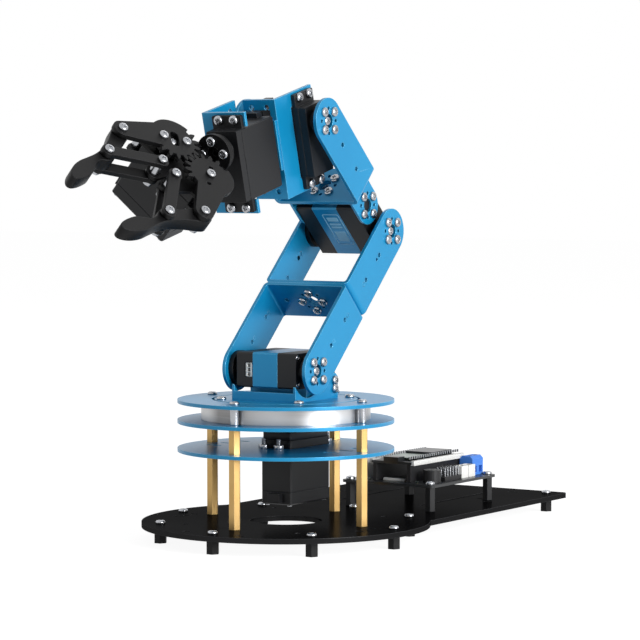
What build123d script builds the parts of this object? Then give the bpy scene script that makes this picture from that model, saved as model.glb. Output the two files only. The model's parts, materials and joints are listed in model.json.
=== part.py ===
from build123d import *
import math
import os

# Desktop robot arm with six servo joints and a geared two-finger gripper.
# Millimetres. Origin on the swivel axis at the deck's underside, +Z up, the arm reaches toward -Y,
# the control board stands on the +Y end of the deck, and the pitch axes run along X.

# Sizes of the base deck
FOOT_HEIGHT = 8.0
FOOT_FLATS = 6.5
DECK_THICK = 3.0
DECK_RADIUS = 82.0
DECK_HALF_WIDTH = 70.0
DECK_END = 208.0
DECK_CORNER = 4.0
DECK_HOLE_RADIUS = 20.4
FOOT_INSET = 10.0
FOOT_COUNT = 8
CORNER_FOOT_X = 60.0
CORNER_FOOT_INSET = 10.0
FOOT_THREAD_FLOOR = 2.0

# Places of the deck's accessory holes and slots
ACCESSORY_X = 38.0
ACCESSORY_Y = 45.0
ACCESSORY_RADIUS = 1.8
SLOT_LONG = 5.5
SLOT_WIDE = 2.4
SIDE_SLOT_X = 62.0
SIDE_SLOT_Y = -19.0
SIDE_SLOT_STEP = 7.0
SIDE_SLOT_SHIFT = 1.0
REAR_SLOT_X = 52.0
REAR_SLOT_Y = 140.0
REAR_SLOT_STEP = 6.0
LONG_SLOT_X = 28.0
LONG_SLOT = 76.0
FRONT_SLOT_X = 18.0
FRONT_SLOT_Y = -71.0
TAIL_SLOT_X = 40.0
TAIL_SLOT_INSET = 16.0
TAIL_SLOT_LONG = 7.0

# Sizes of the disc stack
PILLAR_CIRCLE = 51.0
PILLAR_FLATS = 6.0
PILLAR_COUNT = 4
STUD_RADIUS = 1.45
LOWER_PILLAR_HEIGHT = 39.8
UPPER_PILLAR_HEIGHT = 14.1
DISC_RADIUS = 61.5
DISC_THICK = 2.0
SPACER_RADIUS = 2.5
SPACER_HEIGHT = 9.4
RING_OUTER = 48.0
RING_WALL = 3.6
RING_FIT = 0.06
RACE_WALL = 4.2
TURNTABLE_RADIUS = 40.6
TOP_RING_GAP = 1.6
MIDDLE_HOLE_RADIUS = 30.0
TURNTABLE_SCREW_CIRCLE = 37.0
DISC_SLOT_X = 40.0
DISC_SLOT_STEP = 14.0
DISC_SLOT_LONG = 10.0
RACE_LEDGE = 4.0
RACE_DROP = 2.0
RACE_LIFT = 0.4
DRIVE_HUB_RADIUS = 12.5
DRIVE_HUB_NECK = 4.0
DRIVE_HUB_CIRCLE = 8.0
SINK_DEPTH = 1.0

# Sizes shared by every servo
SERVO_WIDTH = 20.0
SERVO_LENGTH = 40.0
SHAFT_INSET = 10.0
SHAFT_RADIUS = 3.0
SHAFT_FIT = 0.06
SHAFT_DEPTH = 3.0
CASE_HEIGHT = 36.5
EAR_DROP = 9.0
EAR_THICK = 2.5
EAR_REACH = 7.25
EAR_HOLE_REACH = 4.75
EAR_HOLES_WIDE = 10.0
BOSS_RADIUS = 6.5
BOSS_HEIGHT = 1.2
HORN_RADIUS = 10.0
HORN_CIRCLE = 7.0
HORN_THICK = 3.0
SERVO_SEAM = 0.5
SEAM_FLOOR = 7.0
SEAM_ABOVE = 1.5
SEAM_DEPTH = 0.3
TWIN_SPAN = 40.0
TWIN_BOSS = 1.0
TWIN_SCREW_INSET = 2.6
TWIN_COVER_LEFT = 10.8
TWIN_COVER_RIGHT = 12.5

# Sizes of the folded brackets
SHEET = 2.0
FORK_CLEAR = 6.0
FORK_WIDTH = 26.0
FORK_REACH = 55.0
FORK_BEND = 3.0
HUB_HOLE_RADIUS = 4.0
SCREW_HOLE_RADIUS = 1.6
SMALL_HOLE_RADIUS = 1.1
WEB_SCREW_X = 18.0
CAGE_ROOM = 5.5
CAGE_SHEET = 1.5
CAGE_BEND = 2.2
CAGE_HOLE_INSET = 8.0
CRADLE_SHEET = 1.5
CRADLE_FRONT = 22.5
CRADLE_END = 0.85
CRADLE_SIDE_INSET = 3.0
CRADLE_SIDE_Z = -7.0
CRADLE_SIDE_STEP = 4.5
CRADLE_SCREW_X = 12.0
CRADLE_SCREW_FRONT = -15.0
CRADLE_SCREW_BACK = 13.0
PACKER_INSET = 2.0
PACKER_SIDE = 1.0
CRADLE_WALL_TOP = 14.2
CRADLE_LIP = 5.0
CRADLE_SCOOP = 15.2

# Pose of the joints in the resting attitude, degrees from upright, forward positive
LINK_TILT = -45.7
FOREARM_TILT = 47.0
WRIST_TILT = 14.5
GRIPPER_ROLL = 45.0

# Places of the shoulder in the base frame
SHOULDER_Y = -9.85
SHOULDER_LIFT = 17.1

# Sizes of the wrist
WRIST_HORN_HEIGHT = 4.8
ROLL_BACK = 28.1
ROLL_TAB_LEFT = 17.6
ROLL_TAB_RIGHT = 10.6
BRACKET_BORDER = 1.25
BACK_GAP = 0.5
BACK_PLATE_TOP = 7.0
BACK_PLATE_BOTTOM = -21.5
BACK_SCREW_Z = (2.0, -17.0)
BACK_SCREW_X = (5.5, -7.0)
TAB_HOLE_INSET = 5.0
TAB_HOLE_STEP = 10.0
LIP_HOLE_X = 5.0
LIP_HOLE_INSET = 4.5

# Sizes of the gripper
PALM_AHEAD = 28.0
GEAR_MODULE = 1.54
GEAR_TEETH = 18
GEAR_BACKLASH = 0.24
GEAR_ROOM = 0.1
GEAR_PRESSURE = 20.0
PLATE_THICK = 3.0
PLATE_TOP = 7.4
FINGER_THICK = 8.0
ARM_LENGTH = 32.4
ARM_SPREAD = 33.7
LINK_INWARD = 8.7
LINK_FORWARD = 22.2
PALM_SHEET = 2.0
PALM_TOP = -1.8
PIN_RADIUS = 1.5
PIN_FIT = 0.05
LOOP_FIT = 0.35
PALM_AIR = 0.3
PALM_WALL = 22.0
LINK_RADIUS = 4.0
GEAR_HOLE_ANGLE = -52.0
HORN_STACK = 8.0

# Sizes of the control board
BOARD_X = 20.0
BOARD_Y = 113.5
BOARD_WIDE = 63.0
BOARD_LONG = 75.0
BOARD_THICK = 1.6
BOARD_HOLES_WIDE = 55.0
BOARD_HOLES_LONG = 67.0
STANDOFF_HEIGHT = 14.0
STANDOFF_FLATS = 5.5
MODULE_X0 = 7.0
MODULE_X1 = 33.0
MODULE_Y0 = 82.0
MODULE_Y1 = 140.0
MODULE_THICK = 1.4
MODULE_BORDER = 0.6
SOCKET_HEIGHT = 10.6
SOCKET_WIDE = 2.6
TERMINAL_X = 34.8
TERMINAL_WIDE = 9.0
TERMINAL_HEIGHT = 11.5
TERMINAL_INSET = 15.4
TERMINAL_LONG = 12.5
TERMINAL_PITCH = 6.2
PLUG_X = 40.0
PLUG_Y = 118.4
PLUG_PITCH = 8.2
PLUG_LONG = 7.6
PLUG_WIDE = 6.4
PLUG_HEIGHT = 7.2
TALL_PLUG_X = -7.0
TALL_PLUG_Y = 88.0
TALL_PLUG_WIDE = 5.5
TALL_PLUG_LONG = 14.0
TALL_PLUG_HEIGHT = 12.0
HEADER_X = 39.0
HEADER_Y = 98.0
HEADER_WIDE = 8.0
HEADER_LONG = 19.0
HEADER_HEIGHT = 2.5
HEADER_PINS = 6
PIN_PITCH = 3.1
PIN_ROW = 2.5
PIN_HALF = 0.35
PIN_TOP = 8.6
BUZZER_RADIUS = 5.2
BUZZER_HEIGHT = 7.5
BUZZER_X = 42.5
BUZZER_Y = 90.5

# Screw sizes
HEAD_RADIUS = 2.75
HEAD_HEIGHT = 1.8
SHANK_RADIUS = 1.35
THREAD_ROOM = 0.3
THREAD_BITE = 3.0
NUT_HEIGHT = 2.4
NUT_RADIUS = 3.1
SMALL_NUT_RADIUS = 2.9
TINY_NUT_RADIUS = 2.6
TINY_NUT_HEIGHT = 2.2

# Heights that follow from the sizes above
DECK_BOTTOM = 0.0
DECK_TOP = DECK_BOTTOM + DECK_THICK
LOWER_DISC_Z = DECK_TOP + LOWER_PILLAR_HEIGHT
MIDDLE_DISC_Z = LOWER_DISC_Z + DISC_THICK + UPPER_PILLAR_HEIGHT
RING_Z = MIDDLE_DISC_Z + DISC_THICK
TOP_DISC_Z = RING_Z + SPACER_HEIGHT
TABLE_TOP_Z = TOP_DISC_Z + DISC_THICK
SHOULDER_Z = TABLE_TOP_Z + SHOULDER_LIFT
EAR_BOTTOM = CASE_HEIGHT - EAR_DROP
EAR_SPAN = SERVO_LENGTH + 2 * EAR_REACH
EAR_HOLES_LONG = SERVO_LENGTH + 2 * EAR_HOLE_REACH
SERVO_END = SERVO_LENGTH - SHAFT_INSET
SERVO_MIDDLE = SERVO_LENGTH / 2 - SHAFT_INSET
FOOT_CIRCLE = DECK_RADIUS - FOOT_INSET
TWIN_HALF = TWIN_SPAN / 2
FORK_INNER = TWIN_HALF + FORK_CLEAR
CAGE_REACH = SERVO_END + CAGE_ROOM + CAGE_SHEET
CAGE_HOLE_AT = SERVO_END - CAGE_HOLE_INSET
WRIST_EAR_X = FORK_INNER - WRIST_HORN_HEIGHT - BOSS_HEIGHT - EAR_DROP
ROLL_FRONT = ROLL_BACK + CASE_HEIGHT
BRACKET_HALF_HEIGHT = EAR_SPAN / 2 + BRACKET_BORDER
THREAD_RADIUS = SHANK_RADIUS + THREAD_ROOM
LINK_LENGTH = 2 * FORK_REACH
FOREARM_LENGTH = FORK_REACH + CAGE_REACH
FORK_OUTER = FORK_INNER + SHEET
GEAR_RADIUS = GEAR_MODULE * GEAR_TEETH / 2
GEAR_SPACING = 2 * GEAR_RADIUS + GEAR_ROOM
BOARD_Z = DECK_TOP + STANDOFF_HEIGHT
BOARD_TOP = BOARD_Z + BOARD_THICK


def block(x0, x1, y0, y1, z0, z1):
    centre = Pos((x0 + x1) / 2, (y0 + y1) / 2, (z0 + z1) / 2)
    return centre * Box(x1 - x0, y1 - y0, z1 - z0)


def rod(radius, z0, z1, x=0.0, y=0.0):
    return Pos(x, y, (z0 + z1) / 2) * Cylinder(radius, z1 - z0)


def rod_x(radius, x0, x1, y=0.0, z=0.0):
    return Pos((x0 + x1) / 2, y, z) * Rot(0, 90, 0) * Cylinder(radius, x1 - x0)


def rod_y(radius, y0, y1, x=0.0, z=0.0):
    return Pos(x, (y0 + y1) / 2, z) * Rot(90, 0, 0) * Cylinder(radius, y1 - y0)


def prism(radius, sides, z0, z1, x=0.0, y=0.0, turn=0.0):
    face = Rot(0, 0, turn) * RegularPolygon(radius, sides)
    return Pos(x, y, z0) * extrude(face, z1 - z0)


def hex_post(flats, z0, z1, x=0.0, y=0.0, turn=0.0):
    return prism(flats / math.sqrt(3), 6, z0, z1, x, y, turn)


def around(radius, count, start=0.0):
    for i in range(count):
        angle = math.radians(start + 360.0 * i / count)
        yield radius * math.cos(angle), radius * math.sin(angle)


def screw(length, head=HEAD_RADIUS, height=HEAD_HEIGHT, shank=SHANK_RADIUS):
    # head stands on the plane z = 0, shank runs down
    cap = prism(head, 10, 0, height)
    return cap + prism(shank, 6, -length, 0)


def to_x(shape, x, y, z):
    return Pos(x, y, z) * Rot(0, 90, 0) * shape


def to_minus_x(shape, x, y, z):
    return Pos(x, y, z) * Rot(0, -90, 0) * shape


def to_y(shape, x, y, z):
    return Pos(x, y, z) * Rot(-90, 0, 0) * shape


def to_minus_y(shape, x, y, z):
    return Pos(x, y, z) * Rot(90, 0, 0) * shape


def tilted(y, z, tilt):
    # frame of a link: its Z runs along the link, its -Y is the front side
    return Pos(0, y, z) * Rot(tilt, 0, 0)


def along(y, z, tilt, length):
    a = math.radians(tilt)
    return y - length * math.sin(a), z + length * math.cos(a)


ELBOW_Y, ELBOW_Z = along(SHOULDER_Y, SHOULDER_Z, LINK_TILT, LINK_LENGTH)
WRIST_Y, WRIST_Z = along(ELBOW_Y, ELBOW_Z, FOREARM_TILT, FOREARM_LENGTH)
SHOULDER = tilted(SHOULDER_Y, SHOULDER_Z, 0.0)
UPPER = tilted(SHOULDER_Y, SHOULDER_Z, LINK_TILT)
ELBOW = tilted(ELBOW_Y, ELBOW_Z, LINK_TILT)
FORE = tilted(ELBOW_Y, ELBOW_Z, FOREARM_TILT)
FORE_END = tilted(WRIST_Y, WRIST_Z, FOREARM_TILT)
WRIST = tilted(WRIST_Y, WRIST_Z, WRIST_TILT)


# Base deck: round plate that runs into a rectangular tail
def deck_outline():
    tail = DECK_END / 2
    shape = Circle(DECK_RADIUS)
    shape += Pos(0, tail) * Rectangle(2 * DECK_HALF_WIDTH, DECK_END)
    far = [v for v in shape.vertices() if v.Y > DECK_END - 1]
    shape = fillet(far, DECK_CORNER)
    notch = [v for v in shape.vertices() if 0 < v.Y < DECK_RADIUS and abs(v.X) > DECK_HALF_WIDTH - 1]
    return fillet(notch, DECK_CORNER)


def foot_places():
    places = list(around(FOOT_CIRCLE, FOOT_COUNT))
    y = DECK_END - CORNER_FOOT_INSET
    return places + [(-CORNER_FOOT_X, y), (CORNER_FOOT_X, y)]


def board_places():
    for sx in (-1, 1):
        for sy in (-1, 1):
            x = BOARD_X + sx * BOARD_HOLES_WIDE / 2
            y = BOARD_Y + sy * BOARD_HOLES_LONG / 2
            yield x, y


def deck_holes():
    holes = Circle(DECK_HOLE_RADIUS)
    for x, y in foot_places():
        holes += Pos(x, y) * Circle(SCREW_HOLE_RADIUS)
    for x, y in around(PILLAR_CIRCLE, PILLAR_COUNT):
        holes += Pos(x, y) * Circle(SCREW_HOLE_RADIUS)
    for x, y in board_places():
        holes += Pos(x, y) * Circle(SCREW_HOLE_RADIUS)
    for sx in (-1, 1):
        for sy in (-1, 1):
            holes += Pos(sx * ACCESSORY_X, sy * ACCESSORY_Y) * Circle(ACCESSORY_RADIUS)
        for i in range(3):
            side = Pos(sx * (SIDE_SLOT_X - SIDE_SLOT_SHIFT * i), SIDE_SLOT_Y + SIDE_SLOT_STEP * i)
            rear = Pos(sx * (REAR_SLOT_X - REAR_SLOT_STEP * i), REAR_SLOT_Y + REAR_SLOT_STEP * i)
            holes += side * Rectangle(SLOT_LONG, SLOT_WIDE)
            holes += rear * Rectangle(SLOT_LONG, SLOT_WIDE)
        holes += Pos(sx * LONG_SLOT_X, REAR_SLOT_Y) * Rectangle(SLOT_WIDE, LONG_SLOT)
        holes += Pos(sx * FRONT_SLOT_X, FRONT_SLOT_Y) * Rectangle(SLOT_LONG, SLOT_WIDE)
        tail = Pos(sx * TAIL_SLOT_X, DECK_END - TAIL_SLOT_INSET)
        holes += tail * Rectangle(TAIL_SLOT_LONG, SLOT_WIDE)
    return holes


def base_plate():
    face = deck_outline() - deck_holes()
    return Pos(0, 0, DECK_BOTTOM) * extrude(face, DECK_THICK)


def base_feet():
    feet = []
    for x, y in foot_places():
        foot = hex_post(FOOT_FLATS, DECK_BOTTOM - FOOT_HEIGHT, DECK_BOTTOM, x, y)
        floor = FOOT_THREAD_FLOOR - FOOT_HEIGHT
        feet.append(foot - prism(SCREW_HOLE_RADIUS, 8, floor, DECK_BOTTOM, x, y))
    return feet


# Brass pillars in two tiers; the upper ones screw through the lower disc
def brass_pillars():
    pillars = []
    top = LOWER_DISC_Z + DISC_THICK
    for x, y in around(PILLAR_CIRCLE, PILLAR_COUNT):
        low = hex_post(PILLAR_FLATS, DECK_TOP, LOWER_DISC_Z, x, y)
        low -= prism(STUD_RADIUS + 0.3, 8, LOWER_DISC_Z - 8, LOWER_DISC_Z, x, y)
        low -= prism(STUD_RADIUS + 0.3, 8, DECK_TOP, DECK_TOP + 8, x, y)
        high = hex_post(PILLAR_FLATS, top, MIDDLE_DISC_Z, x, y)
        high -= prism(STUD_RADIUS + 0.3, 8, MIDDLE_DISC_Z - 6, MIDDLE_DISC_Z, x, y)
        high += prism(STUD_RADIUS, 6, top - DISC_THICK - 5, top, x, y)
        pillars += [low, high]
    return pillars


def ring_spacers():
    spacers = []
    for x, y in around(PILLAR_CIRCLE, PILLAR_COUNT):
        tube = rod(SPACER_RADIUS, RING_Z, TOP_DISC_Z, x, y)
        spacers.append(tube - prism(THREAD_RADIUS, 8, RING_Z, TOP_DISC_Z, x, y))
    return spacers


def pillar_holes():
    holes = Pos(PILLAR_CIRCLE, 0) * Circle(SCREW_HOLE_RADIUS)
    for x, y in list(around(PILLAR_CIRCLE, PILLAR_COUNT))[1:]:
        holes += Pos(x, y) * Circle(SCREW_HOLE_RADIUS)
    return holes


def lower_disc():
    face = Circle(DISC_RADIUS) - pillar_holes()
    case = SERVO_LENGTH + 1
    face -= Pos(0, SERVO_MIDDLE) * Rectangle(SERVO_WIDTH + 1, case)
    for x, y in ear_places():
        face -= Pos(x, y) * Circle(SCREW_HOLE_RADIUS)
    for sx in (-1, 1):
        for i in range(3):
            slot = Rectangle(DISC_SLOT_LONG, SLOT_WIDE)
            face -= Pos(sx * DISC_SLOT_X, DISC_SLOT_STEP * (i - 1)) * slot
    return Pos(0, 0, LOWER_DISC_Z) * extrude(face, DISC_THICK)


def middle_disc():
    face = Circle(DISC_RADIUS) - pillar_holes() - Circle(MIDDLE_HOLE_RADIUS)
    return Pos(0, 0, MIDDLE_DISC_Z) * extrude(face, DISC_THICK)


def top_ring():
    inner = TURNTABLE_RADIUS + TOP_RING_GAP
    face = Circle(DISC_RADIUS) - pillar_holes() - Circle(inner)
    return Pos(0, 0, TOP_DISC_Z) * extrude(face, DISC_THICK)


# Slewing ring: the outer race stands still, the inner race carries the turntable
def bearing_outer_race():
    inner = RING_OUTER - RING_WALL
    body = rod(RING_OUTER, RING_Z, TOP_DISC_Z) - rod(inner, RING_Z, TOP_DISC_Z)
    middle = RING_Z + SPACER_HEIGHT / 2
    groove = rod(inner + 1.4, middle - 1.4, middle + 1.4)
    return body - groove


def bearing_inner_race():
    outer = RING_OUTER - RING_WALL - RING_FIT
    inner = outer - RACE_WALL - RACE_LEDGE
    bottom = RING_Z + RACE_LIFT
    body = rod(outer, bottom, TOP_DISC_Z) - rod(inner, bottom, TOP_DISC_Z)
    middle = RING_Z + SPACER_HEIGHT / 2
    body += rod(outer + 1.0, middle - 1.0, middle + 1.0) - rod(outer - 1, middle - 1, middle + 1)
    step = TOP_DISC_Z - RACE_DROP
    body -= rod(outer + 1.2, step, TOP_DISC_Z) - rod(TURNTABLE_RADIUS, step, TOP_DISC_Z)
    for x, y in around(TURNTABLE_SCREW_CIRCLE, 4, 45):
        body -= prism(THREAD_RADIUS, 8, TOP_DISC_Z - 6, TOP_DISC_Z, x, y)
    return body


# Standard servo: origin on the shaft axis at the case bottom, Z along the shaft,
# the case runs from -SHAFT_INSET to the far end along +Y
def eared_servo():
    middle = SERVO_MIDDLE
    y0 = -SHAFT_INSET
    y1 = SERVO_END
    w = SERVO_WIDTH / 2
    case = block(-w, w, y0, y1, 0, CASE_HEIGHT)
    edges = case.edges().filter_by(Axis.Z)
    case = chamfer(edges, 0.6)
    case = chamfer(case.edges().group_by(Axis.Z)[0], 0.8)
    d = SEAM_DEPTH
    for z in (SEAM_FLOOR, EAR_BOTTOM + EAR_THICK + SEAM_ABOVE):
        groove = block(-w - 1, w + 1, y0 - 1, y1 + 1, z, z + SERVO_SEAM)
        case -= groove - block(-w + d, w - d, y0 + d, y1 - d, z, z + SERVO_SEAM)
    case += rod(BOSS_RADIUS, CASE_HEIGHT, CASE_HEIGHT + BOSS_HEIGHT)
    case += block(-4, 4, y0 - 3, y0 + 1, 1.5, 6.5)
    tip = EAR_SPAN / 2
    ears = block(-w + 0.5, w - 0.5, middle - tip, middle + tip, EAR_BOTTOM, EAR_BOTTOM + EAR_THICK)
    case += fillet(ears.edges().filter_by(Axis.Z), 1.0)
    for x, y in ear_places():
        case -= prism(SCREW_HOLE_RADIUS, 8, EAR_BOTTOM - 1, EAR_BOTTOM + EAR_THICK + 1, x, y)
    bore = SHAFT_RADIUS + SHAFT_FIT
    top = CASE_HEIGHT + BOSS_HEIGHT
    return case - rod(bore, top - SHAFT_DEPTH - 0.4, top + 1)


def ear_places():
    for sx in (-1, 1):
        for sy in (-1, 1):
            yield sx * EAR_HOLES_WIDE / 2, SERVO_MIDDLE + sy * EAR_HOLES_LONG / 2


# Horn: stub in the servo, disc on top; bottom of the disc on z = 0
def horn(height, radius=HORN_RADIUS, start=0.4):
    body = rod(radius, height - HORN_THICK, height)
    body += rod(BOSS_RADIUS - 0.5, start, height - HORN_THICK + 0.01)
    body += rod(SHAFT_RADIUS, -SHAFT_DEPTH, start + 0.01)
    body -= prism(THREAD_RADIUS, 8, -SHAFT_DEPTH, height)
    for x, y in around(HORN_CIRCLE, 4, 45):
        body -= prism(THREAD_RADIUS, 8, height - HORN_THICK, height, x, y)
    return body


# Twin-shaft servo for the shoulder and the elbow: origin on the shaft axis,
# axis along X, the case runs along +Y, in three slices across X
def twin_slice(x0, x1):
    half = SERVO_WIDTH / 2
    body = block(x0, x1, -SHAFT_INSET, SERVO_END, -half, half)
    return chamfer(body.edges().filter_by(Axis.X), 0.8)


def twin_bores(x0, x1):
    bore = SHAFT_RADIUS + SHAFT_FIT
    return rod_x(bore, x0, x1)


def twin_left():
    body = twin_slice(-TWIN_HALF, -TWIN_HALF + TWIN_COVER_LEFT)
    body += rod_x(BOSS_RADIUS, -TWIN_HALF - TWIN_BOSS, -TWIN_HALF)
    y = -SHAFT_INSET
    body -= block(-TWIN_HALF + 5.2, -TWIN_HALF + TWIN_COVER_LEFT, y, y + 3, -4.2, 4.2)
    body -= twin_bores(-TWIN_HALF - 2, -TWIN_HALF - TWIN_BOSS + SHAFT_DEPTH + 0.4)
    return body


def twin_middle():
    x0 = -TWIN_HALF + TWIN_COVER_LEFT
    x1 = TWIN_HALF - TWIN_COVER_RIGHT
    return twin_slice(x0, x1)


def twin_right():
    body = twin_slice(TWIN_HALF - TWIN_COVER_RIGHT, TWIN_HALF)
    body += rod_x(BOSS_RADIUS, TWIN_HALF, TWIN_HALF + TWIN_BOSS)
    body -= twin_bores(TWIN_HALF + TWIN_BOSS - SHAFT_DEPTH - 0.4, TWIN_HALF + 2)
    corner = SERVO_WIDTH / 2 - TWIN_SCREW_INSET
    for y in (TWIN_SCREW_INSET - SHAFT_INSET, SERVO_END - TWIN_SCREW_INSET):
        for z in (-corner, corner):
            body -= rod_x(2.0, TWIN_HALF - 1.2, TWIN_HALF + 1, y, z)
    return body


def twin_horns():
    stub = FORK_CLEAR - TWIN_BOSS
    right = to_x(horn(stub), TWIN_HALF + TWIN_BOSS, 0, 0)
    left = to_minus_x(horn(stub), -TWIN_HALF - TWIN_BOSS, 0, 0)
    return [left, right]


# Hole pattern of a hub: clear centre, four screws on the diagonals, four small on the axes
def hub_cut(x0, x1, small=True):
    cut = rod_x(HUB_HOLE_RADIUS, x0, x1)
    for y, z in around(HORN_CIRCLE, 4, 45):
        cut += rod_x(SCREW_HOLE_RADIUS, x0, x1, y, z)
    if small:
        for y, z in around(HORN_CIRCLE, 4):
            cut += rod_x(SMALL_HOLE_RADIUS, x0, x1, y, z)
    return cut


def web_cut(z0, z1):
    cut = rod(HUB_HOLE_RADIUS, z0, z1)
    for x, y in around(HORN_CIRCLE, 4, 45):
        cut += rod(SCREW_HOLE_RADIUS, z0, z1, x, y)
    for x, y in around(HORN_CIRCLE, 4):
        cut += rod(SMALL_HOLE_RADIUS, z0, z1, x, y)
    for sx in (-1, 1):
        cut += rod(SCREW_HOLE_RADIUS, z0, z1, sx * WEB_SCREW_X, 0)
    return cut


def folded_channel(half_outer, reach, sheet, bend, width):
    # walls along Z from far below the axis up to the web at the top
    depth = 2 * reach + 60
    outer = Pos(0, reach - depth / 2) * RectangleRounded(2 * half_outer, depth, bend)
    inside = RectangleRounded(2 * (half_outer - sheet), depth, bend - sheet + 0.4)
    hollow = Pos(0, reach - sheet - depth / 2) * inside
    low = Pos(0, -60 - depth / 2) * Rectangle(2 * half_outer + 2, depth)
    face = Plane.XZ * (outer - hollow - low)
    return extrude(face, width / 2, both=True)


def side_outline(width, reach):
    face = Circle(width / 2) + Pos(0, reach / 2) * Rectangle(width, reach)
    return extrude(Plane.YZ * face, 80, both=True)


# Fork: folded channel with round ends on the hub axis, web at the far end
def fork():
    body = folded_channel(FORK_OUTER, FORK_REACH, SHEET, FORK_BEND, FORK_WIDTH)
    body &= side_outline(FORK_WIDTH, FORK_REACH)
    body -= hub_cut(FORK_INNER - 1, FORK_OUTER + 1)
    body -= hub_cut(-FORK_OUTER - 1, -FORK_INNER + 1)
    for z in (FORK_REACH * 0.42, FORK_REACH * 0.78):
        body -= rod_x(SMALL_HOLE_RADIUS, -FORK_OUTER - 1, FORK_OUTER + 1, 0, z)
    return body - web_cut(FORK_REACH - SHEET - 1, FORK_REACH + 1)


def hub_screws(left=True):
    screws = []
    for y, z in around(HORN_CIRCLE, 4, 45):
        screws.append(to_x(screw(4.5), FORK_OUTER, y, z))
        if left:
            screws.append(to_minus_x(screw(4.5), -FORK_OUTER, y, z))
    screws.append(to_x(screw(4.0), FORK_INNER, 0, 0))
    if left:
        screws.append(to_minus_x(screw(4.0), -FORK_INNER, 0, 0))
    return screws


def web_bolts(z, sheet_far, turn=1):
    # bolt head on the near side of two sheets, nut on the far side
    bolts = []
    for x, y in around(HORN_CIRCLE, 4, 45):
        bolt = screw(SHEET + sheet_far + 3.6)
        face = -SHEET - sheet_far
        nut = prism(NUT_RADIUS, 6, face - NUT_HEIGHT, face)
        nut -= prism(SHANK_RADIUS, 6, -20, 0)
        side = Pos(x, y, z) if turn > 0 else Pos(x, y, z) * Rot(180, 0, 0)
        bolts += [side * (bolt + nut)]
    return bolts


# Cradle of the shoulder servo on the turntable
def shoulder_cradle():
    half = TWIN_HALF + CRADLE_SHEET
    low = -SHOULDER_LIFT
    top = CRADLE_WALL_TOP - SHOULDER_LIFT
    front = -CRADLE_FRONT - SHOULDER_Y
    back = SERVO_END + CRADLE_END
    tray = block(-half, half, front, back, low, 6)
    tray -= block(-TWIN_HALF, TWIN_HALF, front + CRADLE_SHEET, back + 1, low + CRADLE_SHEET, 7)
    tray -= block(-TWIN_HALF, TWIN_HALF, front - 1, front + 5, low + CRADLE_LIP, 7)
    tray -= block(-half - 1, half + 1, front - 1, back + 1, top, 7)
    tray -= rod_x(CRADLE_SCOOP, -half - 1, half + 1, 0, 0)
    outline = [
        (front - 1, low - 1),
        (back + 1, low - 1),
        (back + 1, top - 3),
        (back - 3.5, top + 1),
        (front - 1, top + 1),
    ]
    face = Plane.YZ * make_face(Polyline(outline, close=True))
    tray &= extrude(face, 40, both=True)
    for sx in (-1, 1):
        x = sx * (TWIN_HALF + CRADLE_SHEET / 2)
        for y, z in cradle_side_places():
            tray -= rod_x(SCREW_HOLE_RADIUS, x - 2, x + 2, y, z)
    for x, y in cradle_places():
        tray -= rod(SCREW_HOLE_RADIUS, low - 1, low + 3, x, y - SHOULDER_Y)
    return SHOULDER * tray


def cradle_places():
    for x in (-CRADLE_SCREW_X, CRADLE_SCREW_X):
        for y in (CRADLE_SCREW_FRONT, CRADLE_SCREW_BACK):
            yield x, y


def cradle_side_places():
    y = SERVO_END - CRADLE_SIDE_INSET
    return [(y, CRADLE_SIDE_Z), (y, CRADLE_SIDE_Z - CRADLE_SIDE_STEP)]


def twin_packer():
    # packing block between the servo and the cradle floor
    low = -SHOULDER_LIFT + CRADLE_SHEET
    high = -SERVO_WIDTH / 2
    half = TWIN_HALF - PACKER_SIDE
    body = block(-half, half, PACKER_INSET, SERVO_END - PACKER_INSET, low, high)
    for x, y in cradle_places():
        if y > 0:
            body -= prism(HEAD_RADIUS + 0.6, 10, low, high, x, y - SHOULDER_Y)
    return SHOULDER * body


# Narrow cage bracket of the elbow servo, open toward the elbow axis
def elbow_cage():
    half = TWIN_HALF + CAGE_SHEET
    body = folded_channel(half, CAGE_REACH, CAGE_SHEET, CAGE_BEND, SERVO_WIDTH + 2)
    body &= Pos(0, 0, CAGE_HOLE_AT) * side_outline(SERVO_WIDTH + 2, 20)
    for sx in (-1, 1):
        x = sx * half
        body -= Pos(0, 0, CAGE_HOLE_AT) * hub_cut(x - 3, x + 3)
    return body - web_cut(CAGE_REACH - 3, CAGE_REACH + 1)


def cage_screws():
    half = TWIN_HALF + CAGE_SHEET
    screws = []
    for y, z in around(HORN_CIRCLE, 4, 45):
        screws.append(to_x(screw(4.0), half, y, CAGE_HOLE_AT + z))
        screws.append(to_minus_x(screw(4.0), -half, y, CAGE_HOLE_AT + z))
    return screws


def turned_twin(part):
    # case runs along the forearm instead of along +Y
    return Rot(90, 0, 0) * part


def cage_bores(part):
    for y, z in around(HORN_CIRCLE, 4, 45):
        cut = to_x(prism(THREAD_RADIUS, 8, -3.5, 0.5), TWIN_HALF, y, CAGE_HOLE_AT + z)
        part -= cut
        cut = to_minus_x(prism(THREAD_RADIUS, 8, -3.5, 0.5), -TWIN_HALF, y, CAGE_HOLE_AT + z)
        part -= cut
    return part


# Wrist: servo poses in the wrist frame
PITCH_SERVO_X = WRIST_EAR_X - EAR_BOTTOM
ROLL_BASE_Y = -ROLL_FRONT + CASE_HEIGHT


def pitch_servo_pose():
    # shaft toward +X, long side of the case toward -Z
    plane = Plane(origin=(PITCH_SERVO_X, 0, 0), x_dir=(0, -1, 0), z_dir=(1, 0, 0))
    return plane.location


def roll_servo_pose():
    # shaft toward -Y, long side of the case toward -Z
    plane = Plane(origin=(0, ROLL_BASE_Y, 0), x_dir=(-1, 0, 0), z_dir=(0, -1, 0))
    return plane.location


def ear_window(depth0, depth1, grow=0.6):
    w = SERVO_WIDTH / 2 + grow
    return block(-w, w, -SHAFT_INSET - grow, SERVO_END + grow, depth0, depth1)


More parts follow.
